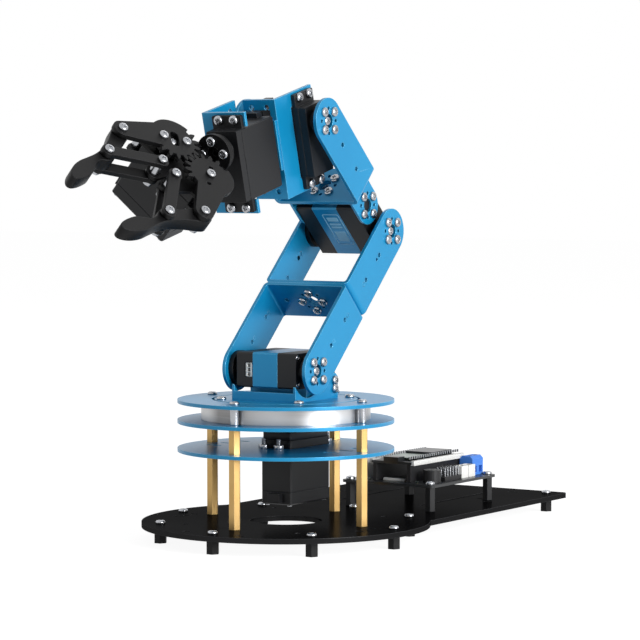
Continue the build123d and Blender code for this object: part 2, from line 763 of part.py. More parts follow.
def ear_bores(depth0, depth1):
    cut = None
    for x, y in ear_places():
        pin = rod(SCREW_HOLE_RADIUS, depth0, depth1, x, y)
        cut = pin if cut is None else cut + pin
    return cut


BRACKET_TOP = BRACKET_HALF_HEIGHT - SERVO_MIDDLE
BRACKET_BOTTOM = -BRACKET_HALF_HEIGHT - SERVO_MIDDLE
EAR_PLANE_Y = ROLL_BASE_Y - EAR_BOTTOM
BACK_PLATE_Y = ROLL_BASE_Y + BACK_GAP


def roll_bracket():
    # tabs behind the ears, a side wall on the -X side, and a back plate
    x0 = -ROLL_TAB_LEFT
    x1 = ROLL_TAB_RIGHT
    y0 = EAR_PLANE_Y
    y1 = BACK_PLATE_Y + SHEET
    body = block(x0, x1, y0, y1, BRACKET_BOTTOM, BRACKET_TOP)
    body -= block(x0 + SHEET, x1 + 1, y0 + SHEET, y1 - SHEET, BRACKET_BOTTOM - 1, BRACKET_TOP + 1)
    body -= roll_servo_pose() * ear_window(-30, 60)
    back = block(x0, x1, BACK_PLATE_Y, y1, BACK_PLATE_BOTTOM, BACK_PLATE_TOP)
    body -= block(x0 + SHEET, x1 + 1, BACK_PLATE_Y - 1, y1 + 1, BACK_PLATE_TOP, 2 * SERVO_LENGTH)
    body -= block(x0 + SHEET, x1 + 1, BACK_PLATE_Y - 1, y1 + 1, -2 * SERVO_LENGTH, BACK_PLATE_BOTTOM)
    body += back
    body -= roll_servo_pose() * ear_bores(EAR_BOTTOM - SHEET - 1, EAR_BOTTOM + 0.5)
    for z in (BRACKET_TOP - TAB_HOLE_INSET, BRACKET_BOTTOM + TAB_HOLE_INSET):
        for y in (y1 - TAB_HOLE_INSET - 1, y1 - TAB_HOLE_INSET - 1 - TAB_HOLE_STEP):
            body -= rod_x(SCREW_HOLE_RADIUS, x0 - 1, x0 + SHEET + 1, y, z)
    for x, z in back_places():
        body -= rod_y(SCREW_HOLE_RADIUS, BACK_PLATE_Y - 1, y1 + 1, x, z)
    return body


def back_places():
    return [(x, z) for z in BACK_SCREW_Z for x in BACK_SCREW_X]


def pitch_bracket():
    # front plate behind the roll servo, folded at its right edge into the ear tabs
    y0 = BACK_PLATE_Y + SHEET
    x1 = WRIST_EAR_X
    front = block(-ROLL_TAB_RIGHT, x1, y0, y0 + SHEET, BRACKET_BOTTOM, BRACKET_TOP)
    tabs = block(x1 - SHEET, x1, y0, SERVO_WIDTH / 2 + 2.0, BRACKET_BOTTOM, BRACKET_TOP)
    window = pitch_servo_pose() * ear_window(-20, 60)
    body = front + (tabs - window)
    strip = block(x1 - SHEET, x1, y0, -SERVO_WIDTH / 2 - 0.7, BRACKET_BOTTOM, BRACKET_TOP)
    body += strip
    body -= pitch_servo_pose() * ear_bores(EAR_BOTTOM - SHEET - 1, EAR_BOTTOM + 0.5)
    body -= block(-ROLL_TAB_RIGHT - 1, x1 - SHEET - 2, y0 - 1, y0 + 3, 8.0, 12.5)
    for x in (-LIP_HOLE_X, LIP_HOLE_X):
        for z in (BRACKET_TOP - LIP_HOLE_INSET, BRACKET_BOTTOM + LIP_HOLE_INSET):
            body -= rod_y(SCREW_HOLE_RADIUS, y0 - 1, y0 + SHEET + 1, x, z)
    for x, z in back_places():
        body -= rod_y(SCREW_HOLE_RADIUS, y0 - 1, y0 + SHEET + 1, x, z)
    return body


def wrist_screws():
    screws = []
    for x, y in ear_places():
        bolt = Pos(x, y, EAR_BOTTOM + EAR_THICK) * screw(EAR_THICK + SHEET + THREAD_BITE)
        face = EAR_BOTTOM - SHEET
        nut = prism(TINY_NUT_RADIUS, 6, face - TINY_NUT_HEIGHT, face, x, y)
        screws.append(pitch_servo_pose() * (bolt + nut))
        screws.append(roll_servo_pose() * (bolt + nut))
    return screws


def back_bolts():
    bolts = []
    y = BACK_PLATE_Y + 2 * SHEET
    for x, z in back_places():
        bolts.append(to_y(screw(2 * SHEET, height=1.4), x, y, z))
    return bolts


# Gripper frame: origin on the roll axis at the horn face, -Y ahead, X across, Z out of the palm
GRIP_Y = -ROLL_FRONT - HORN_STACK
GRIP = WRIST * Pos(0, GRIP_Y, 0) * Rot(0, GRIPPER_ROLL, 0)
GEAR_X = GEAR_SPACING / 2
GEAR_Y = -PALM_AHEAD
PLATE_BOTTOM = PLATE_TOP - PLATE_THICK


def involute_tooth(radius):
    # points of one tooth flank pair, centred on the +X axis
    base = radius * math.cos(math.radians(GEAR_PRESSURE))
    outer = radius + GEAR_MODULE
    root = radius - 1.25 * GEAR_MODULE
    inv = math.tan(math.radians(GEAR_PRESSURE)) - math.radians(GEAR_PRESSURE)
    half = math.pi / (2 * GEAR_TEETH) - GEAR_BACKLASH / 2 / radius + inv
    flank = [(root, half)]
    for i in range(4):
        r = base + (outer - base) * i / 3
        t = math.sqrt(max((r / base) ** 2 - 1, 0))
        flank.append((r, half - (t - math.atan(t))))
    lower = [(r * math.cos(-a), r * math.sin(-a)) for r, a in flank]
    upper = [(r * math.cos(a), r * math.sin(a)) for r, a in reversed(flank)]
    return lower + upper


def gear_sector(first, last, offset):
    # toothed sector around the origin, teeth from first to last, angles from +X
    step = 360.0 / GEAR_TEETH
    root = GEAR_RADIUS - 1.25 * GEAR_MODULE
    body = Circle(root + 0.02)
    tooth = make_face(Polyline(involute_tooth(GEAR_RADIUS), close=True))
    for i in range(first, last + 1):
        body += Rot(0, 0, offset + i * step) * tooth
    return body


def hull_bar(x0, y0, r0, x1, y1, r1):
    length = math.hypot(x1 - x0, y1 - y0)
    turn = math.degrees(math.atan2(y1 - y0, x1 - x0))
    lean = math.acos((r0 - r1) / length)
    points = [
        (r0 * math.cos(lean), r0 * math.sin(lean)),
        (length + r1 * math.cos(lean), r1 * math.sin(lean)),
        (length + r1 * math.cos(lean), -r1 * math.sin(lean)),
        (r0 * math.cos(lean), -r0 * math.sin(lean)),
    ]
    bar = make_face(Polyline(points, close=True))
    shape = bar + Circle(r0) + Pos(length, 0) * Circle(r1)
    return Pos(x0, y0) * Rot(0, 0, turn) * shape


def finger_pivot(side):
    a = math.radians(ARM_SPREAD)
    x = side * (GEAR_X + ARM_LENGTH * math.sin(a))
    return x, GEAR_Y - ARM_LENGTH * math.cos(a)


def link_base(side):
    return side * (GEAR_X - LINK_INWARD), GEAR_Y - LINK_FORWARD


def link_tip(side):
    x, y = finger_pivot(side)
    return x - side * LINK_INWARD, y - LINK_FORWARD


def gear_arm(side):
    # side -1 is the driven arm, side 1 the idle arm
    fx, fy = finger_pivot(side)
    gx = side * GEAR_X
    step = 360.0 / GEAR_TEETH
    inward = 180.0 if side > 0 else 0.0
    offset = inward + (step / 2 if side > 0 else 0.0)
    teeth = gear_sector(-4, 3 if side > 0 else 4, offset)
    hub = Pos(gx, GEAR_Y) * teeth
    back = Circle(GEAR_RADIUS + 0.6) & Pos(side * 16, 4) * Rectangle(28, 34)
    hub += Pos(gx, GEAR_Y) * back
    hub += hull_bar(gx + side * 4, GEAR_Y - 2, 9.0, fx, fy, 5.4)
    hub -= Pos(fx, fy) * Circle(PIN_RADIUS + 0.1)
    if side < 0:
        slot = SlotOverall(11.0, 5.4)
        hub -= Pos(gx, GEAR_Y) * Rot(0, 0, 60) * slot
        for x, y in horn_pair():
            hub -= Pos(gx + x, GEAR_Y + y) * Circle(SCREW_HOLE_RADIUS)
    else:
        hub -= Pos(gx, GEAR_Y) * Circle(PIN_RADIUS + PIN_FIT)
        for x, y in horn_pair():
            hub -= Pos(gx + x * 0.72, GEAR_Y + y * 0.72) * Circle(1.2)
    return Pos(0, 0, PLATE_BOTTOM) * extrude(hub, PLATE_THICK)


def horn_pair():
    angle = math.radians(GEAR_HOLE_ANGLE)
    x = HORN_CIRCLE * math.cos(angle)
    y = HORN_CIRCLE * math.sin(angle)
    return [(x, y), (-x, -y)]


def link_bars(side):
    bx, by = link_base(side)
    tx, ty = link_tip(side)
    bar = hull_bar(bx, by, LINK_RADIUS, tx, ty, LINK_RADIUS)
    bar -= Pos(bx, by) * Circle(PIN_RADIUS + PIN_FIT)
    top = Pos(0, 0, PLATE_BOTTOM) * extrude(bar, PLATE_THICK)
    low = Pos(0, 0, -PLATE_TOP) * extrude(bar, PLATE_THICK)
    pin = rod(PIN_RADIUS, -PLATE_TOP, PLATE_TOP, tx, ty)
    head = prism(HEAD_RADIUS, 10, PLATE_TOP - 0.01, PLATE_TOP + HEAD_HEIGHT, tx, ty)
    tail = prism(2.7, 6, -PLATE_TOP - NUT_HEIGHT, -PLATE_TOP + 0.01, tx, ty)
    return top + low + pin + head + tail


# Finger outline, measured from the finger pivot: inward, forward
FINGER_OUTLINE = [
    (-4.6, 1.0),
    (1.5, 14.0),
    (4.6, 22.0),
    (5.0, 34.0),
    (4.0, 42.0),
    (4.2, 50.0),
    (6.5, 58.5),
    (10.5, 62.5),
    (14.8, 61.5),
    (16.0, 57.5),
    (14.4, 47.5),
    (11.8, 42.5),
    (11.2, 33.0),
    (13.0, 26.0),
    (13.4, 21.5),
    (11.0, 18.0),
    (5.0, 2.0),
]


def finger(side):
    fx, fy = finger_pivot(side)
    tx, ty = link_tip(side)
    points = [(fx - side * a, fy - b) for a, b in FINGER_OUTLINE]
    face = make_face(Polyline(points, close=True))
    face += Pos(fx, fy) * Circle(5.0)
    face += Pos(tx, ty) * Circle(4.6)
    face -= Pos(fx, fy) * Circle(PIN_RADIUS + PIN_FIT)
    face -= Pos(tx, ty) * Circle(PIN_RADIUS + LOOP_FIT)
    return extrude(face, FINGER_THICK / 2, both=True)


def finger_pin(side):
    fx, fy = finger_pivot(side)
    head = prism(HEAD_RADIUS, 10, PLATE_TOP, PLATE_TOP + HEAD_HEIGHT, fx, fy)
    shank = rod(PIN_RADIUS, -FINGER_THICK / 2 - 3.4, PLATE_TOP, fx, fy)
    nut = prism(NUT_RADIUS, 6, -FINGER_THICK / 2 - 3.0, -FINGER_THICK / 2 - 0.4, fx, fy)
    return head + shank + nut


def gripper_servo_pose():
    # shaft toward +Z on the driven gear, long side toward +X
    z = PALM_TOP - PALM_SHEET - PALM_AIR - CASE_HEIGHT
    plane = Plane(origin=(-GEAR_X, GEAR_Y, z), x_dir=(0, 1, 0), z_dir=(0, 0, 1))
    return plane.location * Rot(0, 0, 180)


EAR_GAP = EAR_DROP - EAR_THICK + PALM_AIR


def palm_bracket():
    # palm plate under the gears, folded up into the plate on the roll horn
    z1 = PALM_TOP
    z0 = z1 - PALM_SHEET
    middle = SERVO_MIDDLE - GEAR_X
    plate = Pos(middle, GEAR_Y) * RectangleRounded(EAR_SPAN + 2, SERVO_WIDTH + 1, 3)
    for side in (-1, 1):
        bx, by = link_base(side)
        plate += hull_bar(bx, by, 4.6, bx + side * 3, GEAR_Y, 9.0)
    plate += Pos(0, GEAR_Y / 2) * Rectangle(PALM_WALL, -GEAR_Y)
    plate -= Pos(-GEAR_X, GEAR_Y) * Circle(BOSS_RADIUS + 1.0)
    plate -= Pos(GEAR_X, GEAR_Y) * Circle(PIN_RADIUS + 0.1)
    for side in (-1, 1):
        bx, by = link_base(side)
        plate -= Pos(bx, by) * Circle(PIN_RADIUS + 0.1)
    for x, y in ear_places():
        plate -= Pos(-GEAR_X + y, GEAR_Y + x) * Circle(SCREW_HOLE_RADIUS)
    body = Pos(0, 0, z0) * extrude(plate, PALM_SHEET)
    wall = Circle(PALM_WALL / 2) + Pos(0, -1) * Rectangle(PALM_WALL, 5.6)
    riser = extrude(Plane.XZ * wall, PALM_SHEET)
    cut = rod_y(HUB_HOLE_RADIUS, -PALM_SHEET - 1, 1)
    for x, z in around(HORN_CIRCLE, 4, 45):
        cut += rod_y(SCREW_HOLE_RADIUS, -PALM_SHEET - 1, 1, x, z)
        body -= block(x - 3.2, x + 3.2, -PALM_SHEET - 3.2, 1, -8, 8)
    body -= block(-4.2, 4.2, -PALM_SHEET - 3.2, 1, -8, 8)
    return body + (riser - cut)


def palm_screws():
    screws = []
    low = PALM_TOP - PALM_SHEET - EAR_GAP - EAR_THICK
    for x, y in ear_places():
        px = -GEAR_X + y
        py = GEAR_Y + x
        reach = PALM_SHEET + EAR_GAP + EAR_THICK + THREAD_BITE
        bolt = Pos(px, py, PALM_TOP) * screw(reach, shank=1.3)
        nut = prism(SMALL_NUT_RADIUS, 6, low - NUT_HEIGHT, low, px, py)
        sleeve = prism(2.6, 8, PALM_TOP - PALM_SHEET - EAR_GAP, PALM_TOP - PALM_SHEET, px, py)
        screws.append(bolt + nut + sleeve)
    for x, z in around(HORN_CIRCLE, 4, 45):
        screws.append(to_minus_y(screw(PALM_SHEET + 2.6), x, -PALM_SHEET, z))
    return screws


def palm_pins():
    pins = []
    for side in (-1, 1):
        bx, by = link_base(side)
        shank = rod(PIN_RADIUS, -PLATE_TOP - 3.2, PLATE_TOP + 0.4, bx, by)
        head = prism(HEAD_RADIUS, 10, PLATE_TOP + 0.35, PLATE_TOP + 2.1, bx, by)
        nut = prism(SMALL_NUT_RADIUS, 6, -PLATE_TOP - 2.8, -PLATE_TOP - 0.4, bx, by)
        sleeve = rod(3.2, PALM_TOP, PLATE_BOTTOM - 0.35, bx, by)
        pins.append(shank + head + nut + sleeve)
    shank = rod(PIN_RADIUS, PALM_TOP - PALM_SHEET, PLATE_TOP + 0.4, GEAR_X, GEAR_Y)
    head = prism(HEAD_RADIUS, 10, PLATE_TOP + 0.35, PLATE_TOP + 2.1, GEAR_X, GEAR_Y)
    sleeve = rod(4.2, PALM_TOP, PLATE_BOTTOM - 0.35, GEAR_X, GEAR_Y)
    pins.append(shank + head + sleeve)
    return pins


def driven_horn():
    base = PALM_TOP - PALM_SHEET - PALM_AIR + BOSS_HEIGHT
    body = horn(PLATE_BOTTOM - base, 9.6)
    for x, y in horn_pair():
        body -= prism(THREAD_RADIUS, 8, 0, 20, x, y)
    return Pos(-GEAR_X, GEAR_Y, base) * body


def driven_arm_screws():
    screws = []
    for x, y in horn_pair():
        screws.append(Pos(-GEAR_X + x, GEAR_Y + y, PLATE_TOP) * screw(PLATE_THICK + 2.4))
    centre = Pos(-GEAR_X, GEAR_Y, PLATE_BOTTOM) * screw(4.0, head=2.4, height=1.5)
    return screws + [centre, finger_pin(-1)]


# Control board on four black standoffs
def board_standoffs():
    posts = []
    for x, y in board_places():
        post = hex_post(STANDOFF_FLATS, DECK_TOP, BOARD_Z, x, y)
        post -= prism(THREAD_RADIUS, 8, BOARD_Z - 6, BOARD_Z, x, y)
        post += prism(SHANK_RADIUS, 6, DECK_BOTTOM, DECK_TOP, x, y)
        posts.append(post)
    return posts


def control_board():
    face = Pos(BOARD_X, BOARD_Y) * RectangleRounded(BOARD_WIDE, BOARD_LONG, 2.5)
    for x, y in board_places():
        face -= Pos(x, y) * Circle(SCREW_HOLE_RADIUS)
    return Pos(0, 0, BOARD_Z) * extrude(face, BOARD_THICK)




def module_sockets():
    strips = []
    for x in (MODULE_X0 + SOCKET_WIDE / 2, MODULE_X1 - SOCKET_WIDE / 2):
        half = SOCKET_WIDE / 2
        top = BOARD_TOP + SOCKET_HEIGHT
        strips.append(block(x - half, x + half, MODULE_Y0, MODULE_Y1, BOARD_TOP, top))
    return strips


def controller_module():
    z = BOARD_TOP + SOCKET_HEIGHT
    top = z + MODULE_THICK
    e = MODULE_BORDER
    body = block(MODULE_X0 - e, MODULE_X1 + e, MODULE_Y0 - e, MODULE_Y1 + e, z, top)
    body += block(MODULE_X0 + 4, MODULE_X1 - 4, MODULE_Y1 - 27, MODULE_Y1 - 4, top, top + 3.0)
    body += block(MODULE_X0 + 8, MODULE_X1 - 8, MODULE_Y0 - 1.2, MODULE_Y0 + 6, top, top + 2.6)
    return body


def power_terminal():
    x0 = TERMINAL_X
    x1 = x0 + TERMINAL_WIDE
    y0 = BOARD_Y + BOARD_LONG / 2 - TERMINAL_INSET
    top = BOARD_TOP + TERMINAL_HEIGHT
    body = block(x0, x1, y0, y0 + TERMINAL_LONG, BOARD_TOP, top)
    body = chamfer(body.edges().group_by(Axis.Z)[-1].filter_by(Axis.Y), 1.8)
    for i in range(2):
        y = y0 + 3.2 + TERMINAL_PITCH * i
        body -= prism(1.9, 10, top - 3.5, top + 0.5, x0 + TERMINAL_WIDE / 2, y)
        body -= block(x1 - 2.5, x1 + 1, y - 1.8, y + 1.8, BOARD_TOP + 1.5, BOARD_TOP + 5.5)
    return body


def board_connectors():
    parts = []
    for i in range(2):
        y = PLUG_Y + PLUG_PITCH * i
        top = BOARD_TOP + PLUG_HEIGHT
        body = block(PLUG_X, PLUG_X + PLUG_WIDE, y, y + PLUG_LONG, BOARD_TOP, top)
        y1 = y + PLUG_LONG - 0.9
        inner = block(PLUG_X + 1, PLUG_X + PLUG_WIDE - 1, y + 0.9, y1, BOARD_TOP + 1.4, top + 1)
        parts.append(body - inner)
    x1 = TALL_PLUG_X + TALL_PLUG_WIDE
    y1 = TALL_PLUG_Y + TALL_PLUG_LONG
    top = BOARD_TOP + TALL_PLUG_HEIGHT
    tall = block(TALL_PLUG_X, x1, TALL_PLUG_Y, y1, BOARD_TOP, top)
    tall -= block(TALL_PLUG_X + 0.9, x1 - 0.9, TALL_PLUG_Y + 1, y1 - 1, BOARD_TOP + 2, top + 1)
    return parts + [tall]


def servo_header():
    base = BOARD_TOP + HEADER_HEIGHT
    y1 = HEADER_Y + HEADER_LONG
    body = block(HEADER_X, HEADER_X + HEADER_WIDE, HEADER_Y, y1, BOARD_TOP, base)
    for i in range(HEADER_PINS):
        for j in range(3):
            x = HEADER_X + 1.6 + PIN_ROW * j
            y = HEADER_Y + 1.8 + PIN_PITCH * i
            pin = Rectangle(2 * PIN_HALF, 2 * PIN_HALF)
            body += Pos(x, y, base - 0.1) * extrude(pin, PIN_TOP - HEADER_HEIGHT + 0.1)
    return body


def buzzer():
    top = BOARD_TOP + BUZZER_HEIGHT
    body = prism(BUZZER_RADIUS, 24, BOARD_TOP, top, BUZZER_X, BUZZER_Y)
    return body - prism(1.0, 8, top - 1.5, top + 0.5, BUZZER_X, BUZZER_Y)


# Fasteners of the base: feet, pillars, top ring and board
def base_screws():
    screws = []
    for x, y in foot_places():
        screws.append(Pos(x, y, DECK_TOP) * screw(DECK_THICK + 4.5))
    for x, y in around(PILLAR_CIRCLE, PILLAR_COUNT):
        screws.append(Pos(x, y, DECK_BOTTOM) * Rot(180, 0, 0) * screw(DECK_THICK + 6.0))
        reach = DISC_THICK + SPACER_HEIGHT + DISC_THICK + 5.0
        screws.append(Pos(x, y, TABLE_TOP_Z) * screw(reach))
    for x, y in board_places():
        screws.append(Pos(x, y, BOARD_TOP) * screw(BOARD_THICK + 4.0))
    return screws


BASE_SERVO_Z = LOWER_DISC_Z - EAR_BOTTOM - EAR_THICK


def base_servo():
    return Pos(0, 0, BASE_SERVO_Z) * eared_servo()


def base_servo_screws():
    screws = []
    for x, y in ear_places():
        bolt = Rot(180, 0, 0) * screw(EAR_THICK + DISC_THICK + THREAD_BITE)
        top = LOWER_DISC_Z + DISC_THICK
        bolt = Pos(x, y, LOWER_DISC_Z - EAR_THICK) * bolt
        nut = prism(NUT_RADIUS, 6, top, top + NUT_HEIGHT, x, y)
        screws.append(bolt + nut)
    return screws


def drive_hub():
    base = BASE_SERVO_Z + CASE_HEIGHT + BOSS_HEIGHT
    top = TOP_DISC_Z
    body = rod(DRIVE_HUB_RADIUS, base + DRIVE_HUB_NECK, top)
    body += rod(BOSS_RADIUS, base + 0.4, base + DRIVE_HUB_NECK + 0.01)
    body += rod(SHAFT_RADIUS, base - SHAFT_DEPTH, base + 0.41)
    for x, y in around(DRIVE_HUB_CIRCLE, 4, 45):
        body -= prism(THREAD_RADIUS, 8, top - 7, top, x, y)
    return body


def turntable_disc():
    face = Circle(TURNTABLE_RADIUS)
    for x, y in around(DRIVE_HUB_CIRCLE, 4, 45):
        face -= Pos(x, y) * Circle(SCREW_HOLE_RADIUS)
    for x, y in around(TURNTABLE_SCREW_CIRCLE, 4, 45):
        face -= Pos(x, y) * Circle(SCREW_HOLE_RADIUS)
    for x, y in cradle_places():
        face -= Pos(x, y) * Circle(SCREW_HOLE_RADIUS)
    body = Pos(0, 0, TOP_DISC_Z) * extrude(face, DISC_THICK)
    for x, y in around(DRIVE_HUB_CIRCLE, 4, 45):
        body -= prism(HEAD_RADIUS + 0.3, 10, TABLE_TOP_Z - SINK_DEPTH, TABLE_TOP_Z, x, y)
    return body


def turntable_screws():
    screws = []
    for x, y in around(TURNTABLE_SCREW_CIRCLE, 4, 45):
        screws.append(Pos(x, y, TABLE_TOP_Z) * screw(DISC_THICK + 4.0))
    for x, y in cradle_places():
        bolt = screw(CRADLE_SHEET + DISC_THICK + THREAD_BITE)
        bolt = Pos(x, y, TABLE_TOP_Z + CRADLE_SHEET) * bolt
        nut = prism(SMALL_NUT_RADIUS, 6, TOP_DISC_Z - NUT_HEIGHT, TOP_DISC_Z, x, y)
        screws.append(bolt + nut)
    for x, y in around(DRIVE_HUB_CIRCLE, 4, 45):
        screws.append(Pos(x, y, TABLE_TOP_Z - SINK_DEPTH) * screw(5.5, height=0.8))
    for turn, x in ((to_x, TWIN_HALF + CRADLE_SHEET), (to_minus_x, -TWIN_HALF - CRADLE_SHEET)):
        for depth, (y, z) in zip((4.0, CRADLE_SHEET), cradle_side_places()):
            screws.append(SHOULDER * turn(screw(depth), x, y, z))
    return screws


def shoulder_bores(part):
    y, z = cradle_side_places()[0]
    part -= to_x(prism(THREAD_RADIUS, 8, -3.2, 0.5), TWIN_HALF, y, z)
    part -= to_minus_x(prism(THREAD_RADIUS, 8, -3.2, 0.5), -TWIN_HALF, y, z)
    return part


# Whole arm, one file for each piece
def all_parts():
    parts = {}
    parts["base_plate"] = base_plate()
    parts["base_feet"] = base_feet()
    parts["base_screws"] = base_screws() + base_servo_screws()
    parts["brass_pillars"] = brass_pillars()
    parts["ring_spacers"] = ring_spacers()
    parts["lower_disc"] = lower_disc()
    parts["middle_disc"] = middle_disc()
    parts["top_ring"] = top_ring()
    parts["bearing_outer_race"] = bearing_outer_race()
    parts["base_servo"] = base_servo()
    parts["board_standoffs"] = board_standoffs()
    parts["control_board"] = control_board()
    parts["module_sockets"] = module_sockets()
    parts["controller_module"] = controller_module()
    parts["power_terminal"] = power_terminal()
    parts["board_connectors"] = board_connectors()
    parts["servo_header"] = servo_header()
    parts["buzzer"] = buzzer()
    parts["drive_hub"] = drive_hub()
    parts["turntable_disc"] = turntable_disc()
    parts["bearing_inner_race"] = bearing_inner_race()
    parts["turntable_screws"] = turntable_screws()
    parts["shoulder_cradle"] = shoulder_cradle()
    parts["shoulder_packer"] = twin_packer()
    parts["shoulder_servo_left"] = SHOULDER * shoulder_bores(twin_left())
    parts["shoulder_servo_middle"] = SHOULDER * twin_middle()
    parts["shoulder_servo_right"] = SHOULDER * shoulder_bores(twin_right())
    parts["arm_horns"] = [UPPER * h for h in twin_horns()] + [ELBOW * h for h in twin_horns()]
    parts["lower_fork"] = UPPER * fork()
    flip = Pos(0, 0, LINK_LENGTH) * Rot(180, 0, 0)
    parts["upper_fork"] = UPPER * flip * fork()
    bolts = web_bolts(FORK_REACH - SHEET, SHEET, -1)
    parts["link_bolts"] = [UPPER * b for b in bolts]
    screws = [UPPER * s for s in hub_screws()]
    parts["arm_hub_screws"] = screws + [ELBOW * s for s in hub_screws()]
    parts["elbow_servo_left"] = FORE * cage_bores(turned_twin(twin_left()))
    parts["elbow_servo_middle"] = FORE * turned_twin(twin_middle())
    parts["elbow_servo_right"] = FORE * cage_bores(turned_twin(twin_right()))
    parts["elbow_cage"] = FORE * elbow_cage()
    far = Pos(0, 0, FOREARM_LENGTH) * Rot(180, 0, 0)
    parts["forearm_fork"] = FORE * far * fork()
    bolts = cage_screws() + web_bolts(CAGE_REACH + SHEET, CAGE_SHEET, 1)
    parts["forearm_screws"] = [FORE * b for b in bolts]
    parts["wrist_horn"] = FORE_END * wrist_horn()
    parts["wrist_hub_screws"] = [FORE_END * s for s in wrist_hub_screws()]
    parts["pitch_servo"] = WRIST * pitch_servo_pose() * eared_servo()
    parts["wrist_idler"] = WRIST * wrist_idler()
    parts["pitch_bracket"] = WRIST * pitch_bracket()
    parts["roll_servo"] = WRIST * roll_servo_pose() * eared_servo()
    parts["roll_bracket"] = WRIST * roll_bracket()
    parts["wrist_screws"] = [WRIST * s for s in wrist_screws() + back_bolts()]
    parts["roll_horn"] = roll_horn()
    parts["palm_bracket"] = GRIP * palm_bracket()
    parts["gripper_servo"] = GRIP * gripper_servo_pose() * eared_servo()
    parts["palm_screws"] = [GRIP * s for s in palm_screws()]
    parts["palm_pins"] = [GRIP * s for s in palm_pins()]
    parts["driven_horn"] = GRIP * driven_horn()
    parts["driven_gear_arm"] = GRIP * gear_arm(-1)
    parts["driven_arm_screws"] = [GRIP * s for s in driven_arm_screws()]
    parts["idle_gear_arm"] = GRIP * gear_arm(1)
    parts["idle_arm_pin"] = GRIP * finger_pin(1)
    parts["left_link"] = GRIP * link_bars(-1)
    parts["right_link"] = GRIP * link_bars(1)
    parts["left_finger"] = GRIP * finger(-1)
    parts["right_finger"] = GRIP * finger(1)
    return parts


WRIST_HORN_BASE = PITCH_SERVO_X + CASE_HEIGHT + BOSS_HEIGHT


def wrist_horn():
    return to_x(horn(FORK_INNER - WRIST_HORN_BASE), WRIST_HORN_BASE, 0, 0)


def wrist_idler():
    # turned boss under the pitch servo that runs in the far hub hole of the fork
    body = rod_x(BOSS_RADIUS, -FORK_INNER + 0.4, PITCH_SERVO_X)
    body += rod_x(HUB_HOLE_RADIUS - PIN_FIT, -FORK_OUTER - 0.4, -FORK_INNER + 0.41)
    return body


def wrist_hub_screws():
    return hub_screws(left=False)


def roll_horn():
    base = -ROLL_FRONT - BOSS_HEIGHT
    body = horn(HORN_STACK - BOSS_HEIGHT)
    return WRIST * Rot(0, GRIPPER_ROLL, 0) * to_minus_y(body, 0, base, 0)


def main():
    os.makedirs("parts", exist_ok=True)
    for name, shape in all_parts().items():
        if isinstance(shape, list):
            shape = Compound(children=shape)
        export_step(shape, f"parts/{name}.step")


main()
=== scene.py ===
import bpy
import bmesh
import json
import math
from mathutils import Matrix, Vector


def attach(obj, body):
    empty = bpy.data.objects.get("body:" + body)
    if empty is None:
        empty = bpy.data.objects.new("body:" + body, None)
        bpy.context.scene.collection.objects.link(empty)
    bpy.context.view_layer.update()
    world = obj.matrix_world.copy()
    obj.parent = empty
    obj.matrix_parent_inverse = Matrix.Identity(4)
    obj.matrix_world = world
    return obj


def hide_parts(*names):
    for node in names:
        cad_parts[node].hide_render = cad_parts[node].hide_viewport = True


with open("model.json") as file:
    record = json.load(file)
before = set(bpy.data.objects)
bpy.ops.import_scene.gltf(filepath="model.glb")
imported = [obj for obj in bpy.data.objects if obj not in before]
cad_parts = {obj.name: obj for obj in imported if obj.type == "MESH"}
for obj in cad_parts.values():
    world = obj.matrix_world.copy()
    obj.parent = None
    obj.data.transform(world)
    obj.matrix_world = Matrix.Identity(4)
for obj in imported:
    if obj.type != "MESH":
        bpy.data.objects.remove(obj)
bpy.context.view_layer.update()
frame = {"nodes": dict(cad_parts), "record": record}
scene = bpy.context.scene
MM = 0.001


# Shader writing
# How fast the edge mask rises near an edge; finishes paint highlights on edges with it.
EDGE_GAIN = 5.0


class Value:
    """A socket of a material, with arithmetic that adds Math nodes."""

    def __init__(self, finish, socket):
        self.finish = finish
        self.socket = socket

    def maths(self, operation, *terms):
        return self.finish.node("Math", {"operation": operation}, dict(enumerate(terms)))

    def __add__(self, other):
        return self.maths("ADD", self, other)

    __radd__ = __add__

    def __sub__(self, other):
        return self.maths("SUBTRACT", self, other)

    def __rsub__(self, other):
        return self.maths("SUBTRACT", other, self)

    def __mul__(self, other):
        return self.maths("MULTIPLY", self, other)

    __rmul__ = __mul__


